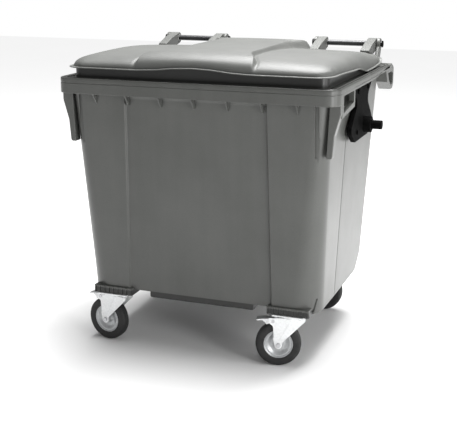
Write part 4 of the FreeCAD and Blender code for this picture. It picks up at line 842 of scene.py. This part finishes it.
def ramp(tree, source, low, high, start=0.3, end=0.7):
    """Value turned into a colour between two ends."""
    node = tree.nodes.new("ShaderNodeValToRGB")
    node.color_ramp.elements[0].position = start
    node.color_ramp.elements[1].position = end
    node.color_ramp.elements[0].color = (*low, 1)
    node.color_ramp.elements[1].color = (*high, 1)
    tree.links.new(source, node.inputs["Fac"])
    return node.outputs["Color"]


def map_range(tree, source, ends):
    """Value moved from one range to another; ends holds the ends that aren't 0 and 1."""
    node = tree.nodes.new("ShaderNodeMapRange")
    for socket, value in ends.items():
        node.inputs[socket].default_value = value
    tree.links.new(source, node.inputs["Value"])
    return node.outputs["Result"]


def spread(tree, source, low, high):
    """Value 0..1 turned into a range."""
    return map_range(tree, source, {"To Min": low, "To Max": high})


def mix(tree, kind, first, second, amount):
    """Two colours mixed."""
    node = tree.nodes.new("ShaderNodeMix")
    node.data_type = "RGBA"
    node.blend_type = kind
    for socket, value in (("Factor", amount), ("A", first), ("B", second)):
        target = [s for s in node.inputs if s.name == socket and (socket == "Factor" or s.type == "RGBA")][0]
        if isinstance(value, bpy.types.NodeSocket):
            tree.links.new(value, target)
        else:
            target.default_value = value
    return [s for s in node.outputs if s.type == "RGBA"][0]


def bump(tree, shader, *layers):
    """Stack of bumps; each layer is (height, strength, distance)."""
    normal = None
    for height, strength, distance in layers:
        node = tree.nodes.new("ShaderNodeBump")
        node.inputs["Strength"].default_value = strength
        node.inputs["Distance"].default_value = distance
        tree.links.new(height, node.inputs["Height"])
        if normal:
            tree.links.new(normal, node.inputs["Normal"])
        normal = node.outputs["Normal"]
    tree.links.new(normal, shader.inputs["Normal"])


def painted_shade(tree, colour):
    """Colour darkened with painted shade: round the collar under the lid's edge, and low down between the side
    walls under the floor.
    """
    parts = tree.nodes.new("ShaderNodeSeparateXYZ")
    tree.links.new(object_place(tree), parts.inputs["Vector"])

    def mask(source, start, end):
        return map_range(tree, source, {"From Min": start, "From Max": end})

    def calculate(operation, *sources):
        node = tree.nodes.new("ShaderNodeMath")
        node.operation = operation
        for source, socket in zip(sources, node.inputs):
            tree.links.new(source, socket)
        return node.outputs[0]

    collar = calculate("MULTIPLY", mask(parts.outputs["Z"], RIM_TOP - 0.007, RIM_TOP + 0.004),
                       mask(parts.outputs["Y"], TOP_BACK + 0.010, TOP_BACK))
    across = calculate("ABSOLUTE", parts.outputs["X"])
    under = calculate("MULTIPLY", mask(parts.outputs["Z"], FRONT_FOOT + 0.001, FRONT_FOOT - 0.001),
                      mask(across, TOP_HALF - SIDE_TAPER - 0.020, TOP_HALF - SIDE_TAPER - 0.030))
    # painted shade: the collar and the low band are multiplied towards a dark grey
    return mix(tree, "MULTIPLY", colour, (0.22, 0.22, 0.22, 1), calculate("MAXIMUM", collar, under))


def plastic(name, dark, light, rough_low, rough_high, grain, paint_shade=False):
    """Moulded plastic: faint clouding, run marks down the walls, fine leather-like grain, and painted shade at the
    collar and low down where asked.
    """
    made, tree, shader = material(name)
    cloud = ramp(tree, noise(tree, 3.0), dark, light)
    runs = ramp(tree, noise(tree, 14.0, 3, 0.6, (1, 1, 0.08)), (0.94, 0.94, 0.94), (1.03, 1.03, 1.03))
    speck = ramp(tree, noise(tree, 260.0, 2), (0.95, 0.95, 0.95), (1.05, 1.05, 1.05))
    colour = mix(tree, "MULTIPLY", mix(tree, "MULTIPLY", cloud, runs, 1.0), speck, 1.0)
    # base colour, with painted shade at the collar and low down when asked
    tree.links.new(painted_shade(tree, colour) if paint_shade else colour, shader.inputs["Base Color"])
    tree.links.new(spread(tree, noise(tree, 9.0), rough_low, rough_high), shader.inputs["Roughness"])
    shader.inputs["Specular IOR Level"].default_value = 0.38
    bump(tree, shader, (noise(tree, 900.0, 3), 0.25, grain), (noise(tree, 7.0, 2), 0.12, 0.003))
    return made


def rubber(name):
    """Black rubber with road dust in patches."""
    made, tree, shader = material(name)
    base = ramp(tree, noise(tree, 30.0), (0.007, 0.007, 0.007), (0.016, 0.016, 0.016))
    dust = ramp(tree, noise(tree, 12.0, 5, 0.65), (0, 0, 0), (0.35, 0.35, 0.35), 0.52, 0.8)
    colour = mix(tree, "MIX", base, (0.035, 0.034, 0.032, 1), dust)
    tree.links.new(colour, shader.inputs["Base Color"])
    tree.links.new(spread(tree, noise(tree, 40.0), 0.55, 0.8), shader.inputs["Roughness"])
    bump(tree, shader, (noise(tree, 700.0, 3), 0.4, 0.0004))
    return made


def zinc(name, dark, light, rough_low, rough_high, metallic=0.85):
    """Zinc-plated steel with faint crystal patches and handling marks."""
    made, tree, shader = material(name)
    crystal = tree.nodes.new("ShaderNodeTexVoronoi")
    crystal.inputs["Scale"].default_value = 120.0
    tree.links.new(object_place(tree), crystal.inputs["Vector"])
    patch = ramp(tree, crystal.outputs["Distance"], dark, light, 0.1, 0.9)
    marks = ramp(tree, noise(tree, 25.0, 5, 0.6), (0.92, 0.92, 0.91), (1.0, 1.0, 1.0))
    tree.links.new(mix(tree, "MULTIPLY", patch, marks, 1.0), shader.inputs["Base Color"])
    tree.links.new(spread(tree, noise(tree, 60.0, 4), rough_low, rough_high), shader.inputs["Roughness"])
    shader.inputs["Metallic"].default_value = metallic
    bump(tree, shader, (noise(tree, 300.0, 2), 0.15, 0.0003))
    return made


def black_plastic(name):
    """Dull black moulding with a fine grain."""
    made, tree, shader = material(name)
    colour = ramp(tree, noise(tree, 20.0), (0.002, 0.002, 0.002), (0.005, 0.005, 0.005))
    tree.links.new(colour, shader.inputs["Base Color"])
    tree.links.new(spread(tree, noise(tree, 50.0), 0.6, 0.75), shader.inputs["Roughness"])
    shader.inputs["Specular IOR Level"].default_value = 0.02
    bump(tree, shader, (noise(tree, 800.0, 3), 0.3, 0.0004))
    return made


MATERIALS = {
    # the tub's plastic carries painted shade at its collar and low down (its last argument)
    "tub_plastic": plastic("tub_plastic", (0.074, 0.076, 0.071), (0.091, 0.093, 0.088), 0.27, 0.35, 0.0004,
                           True),
    "lid_plastic": plastic("lid_plastic", (0.076, 0.078, 0.074), (0.093, 0.095, 0.090), 0.44, 0.54, 0.0003),
    "black_plastic": black_plastic("black_plastic"),
    "black_steel": black_plastic("black_steel"),
    "rubber": rubber("rubber"),
    "tube_steel": zinc("tube_steel", (0.035, 0.036, 0.038), (0.055, 0.056, 0.058), 0.30, 0.42, 0.4),
    "wheel_steel": zinc("wheel_steel", (0.42, 0.43, 0.44), (0.50, 0.51, 0.52), 0.3, 0.42, 0.6),
    "bush_plastic": plastic("bush_plastic", (0.5, 0.5, 0.47), (0.6, 0.6, 0.57), 0.4, 0.5, 0.0002),
    "pedal_steel": zinc("pedal_steel", (0.62, 0.63, 0.64), (0.74, 0.75, 0.76), 0.28, 0.42, 0.6),
    "bolt_steel": zinc("bolt_steel", (0.5, 0.5, 0.52), (0.62, 0.62, 0.64), 0.25, 0.4),
    "zinc_steel": zinc("zinc_steel", (0.76, 0.77, 0.78), (0.84, 0.85, 0.86), 0.34, 0.46, 0.3),
}
SLOT_OF = {part["node"]: part["material_slot"] for part in frame["record"]["subparts"]}


def dress(item, slot, body, *replaced):
    """Give a new piece the material named by its slot, put it on its body, and hide the CAD nodes that it stands
    for.
    """
    item.data.materials.clear()
    item.data.materials.append(MATERIALS[slot])
    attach(item, body)
    if replaced:
        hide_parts(*replaced)
    return item


def dress_nodes():
    """Materials of the CAD nodes that stay; the bracket bolts are black like the brackets."""
    for name, item in frame["nodes"].items():
        item.data.materials.clear()
        slot = "black_steel" if name.startswith("bracket_bolts") else SLOT_OF[name]
        item.data.materials.append(MATERIALS[slot])


# ------------------------------------------------------------------ stage
def look_at(item, target):
    """Turn a camera or light to face a target."""
    item.rotation_euler = (Vector(target) - item.location).to_track_quat("-Z", "Y").to_euler()


def camera():
    """Camera in front, to the right and a little above."""
    data = bpy.data.cameras.new("camera")
    data.sensor_width = 36.0
    data.lens = 78.18
    item = bpy.data.objects.new("camera", data)
    item.location = (1.5781, -4.3363, 1.7611)
    look_at(item, (-0.0261, -0.0230, 0.5468))
    bpy.context.scene.collection.objects.link(item)
    bpy.context.scene.camera = item


def softbox(name, place, target, width, height, power):
    """Rectangular area light that faces a target."""
    data = bpy.data.lights.new(name, "AREA")
    data.shape = "RECTANGLE"
    data.size = width
    data.size_y = height
    data.energy = power
    item = bpy.data.objects.new(name, data)
    item.location = place
    look_at(item, target)
    bpy.context.scene.collection.objects.link(item)


def lights():
    """Three area lights, and a dim world that the camera sees as white."""
    softbox("top_light", (0.2, 0.7, 4.2), (0, 0, 1.0), 3.0, 3.0, 500)
    softbox("right_light", (4.4, -0.6, 1.6), (0.4, 0, 0.7), 1.8, 2.6, 60)
    softbox("corner_light", (3.9, -2.5, 1.3), (0.55, -0.4, 0.8), 0.8, 2.4, 80)
    world = bpy.data.worlds.new("world")
    bpy.context.scene.world = world
    world.use_nodes = True
    tree = world.node_tree
    background = tree.nodes["Background"]
    background.inputs["Strength"].default_value = 0.28
    background.inputs["Color"].default_value = (1, 1, 1, 1)
    white = tree.nodes.new("ShaderNodeBackground")
    white.inputs["Color"].default_value = (1, 1, 1, 1)
    path = tree.nodes.new("ShaderNodeLightPath")
    mixer = tree.nodes.new("ShaderNodeMixShader")
    tree.links.new(path.outputs["Is Camera Ray"], mixer.inputs["Fac"])
    tree.links.new(background.outputs[0], mixer.inputs[1])
    tree.links.new(white.outputs[0], mixer.inputs[2])
    tree.links.new(mixer.outputs[0], tree.nodes["World Output"].inputs["Surface"])


def floor():
    """Pale floor that brightens into the white world away from the container."""
    size = 14.0
    item = new_object("floor", [(-size, -size, 0), (size, -size, 0), (size, size, 0), (-size, size, 0)],
                      [(0, 1, 2, 3)])
    made, tree, shader = material("floor")
    tint = ramp(tree, noise(tree, 0.8), (0.84, 0.84, 0.84), (0.87, 0.87, 0.87))
    tree.links.new(tint, shader.inputs["Base Color"])
    far = tree.nodes.new("ShaderNodeVectorMath")
    far.operation = "LENGTH"
    tree.links.new(object_place(tree), far.inputs[0])
    glow = map_range(tree, far.outputs["Value"], {"From Min": 1.2, "From Max": 4.2, "To Max": 0.66})
    tree.links.new(glow, shader.inputs["Emission Strength"])
    shader.inputs["Emission Color"].default_value = (1, 1, 1, 1)
    shader.inputs["Roughness"].default_value = 0.9
    shader.inputs["Specular IOR Level"].default_value = 0.1
    item.data.materials.append(made)


# ------------------------------------------------------------------ assembly
camera()
lights()
floor()
bpy.context.scene.view_settings.view_transform = "Standard"
dress_nodes()
dress(tub(), "tub_plastic", "container", "tub")
dress(lid(), "lid_plastic", "lid", "lid")
bracket = trunnion_bracket()
twin = shade(flip_side(bracket))
for side, item in zip(SIDES, (twin, bracket)):
    item.name = "bracket_" + side
    dress(item, "black_plastic", "container", "trunnion_bracket_" + side)

patterns = {"tyre": (tyre(), "rubber", "wheel"), "wheel_centre": (wheel_centre(), "wheel_steel", "wheel")}
forks = {True: fork(True), False: fork(False)}
for corner in CORNERS:
    matrix = caster_frame(corner)
    centre = matrix @ Matrix.Translation((TRAIL, 0, RADIUS))
    for name, (pattern, slot, body) in patterns.items():
        item = place_copy(pattern, centre, "%s_mesh_%s" % (name, corner))
        dress(item, slot, "%s_%s" % (body, corner), "%s_%s" % (name, corner))
    item = place_copy(forks[corner.startswith("front")], matrix, "fork_mesh_" + corner)
    dress(item, "zinc_steel", "caster_" + corner, "fork_" + corner)
for pattern in [p[0] for p in patterns.values()] + list(forks.values()):
    remove(pattern)
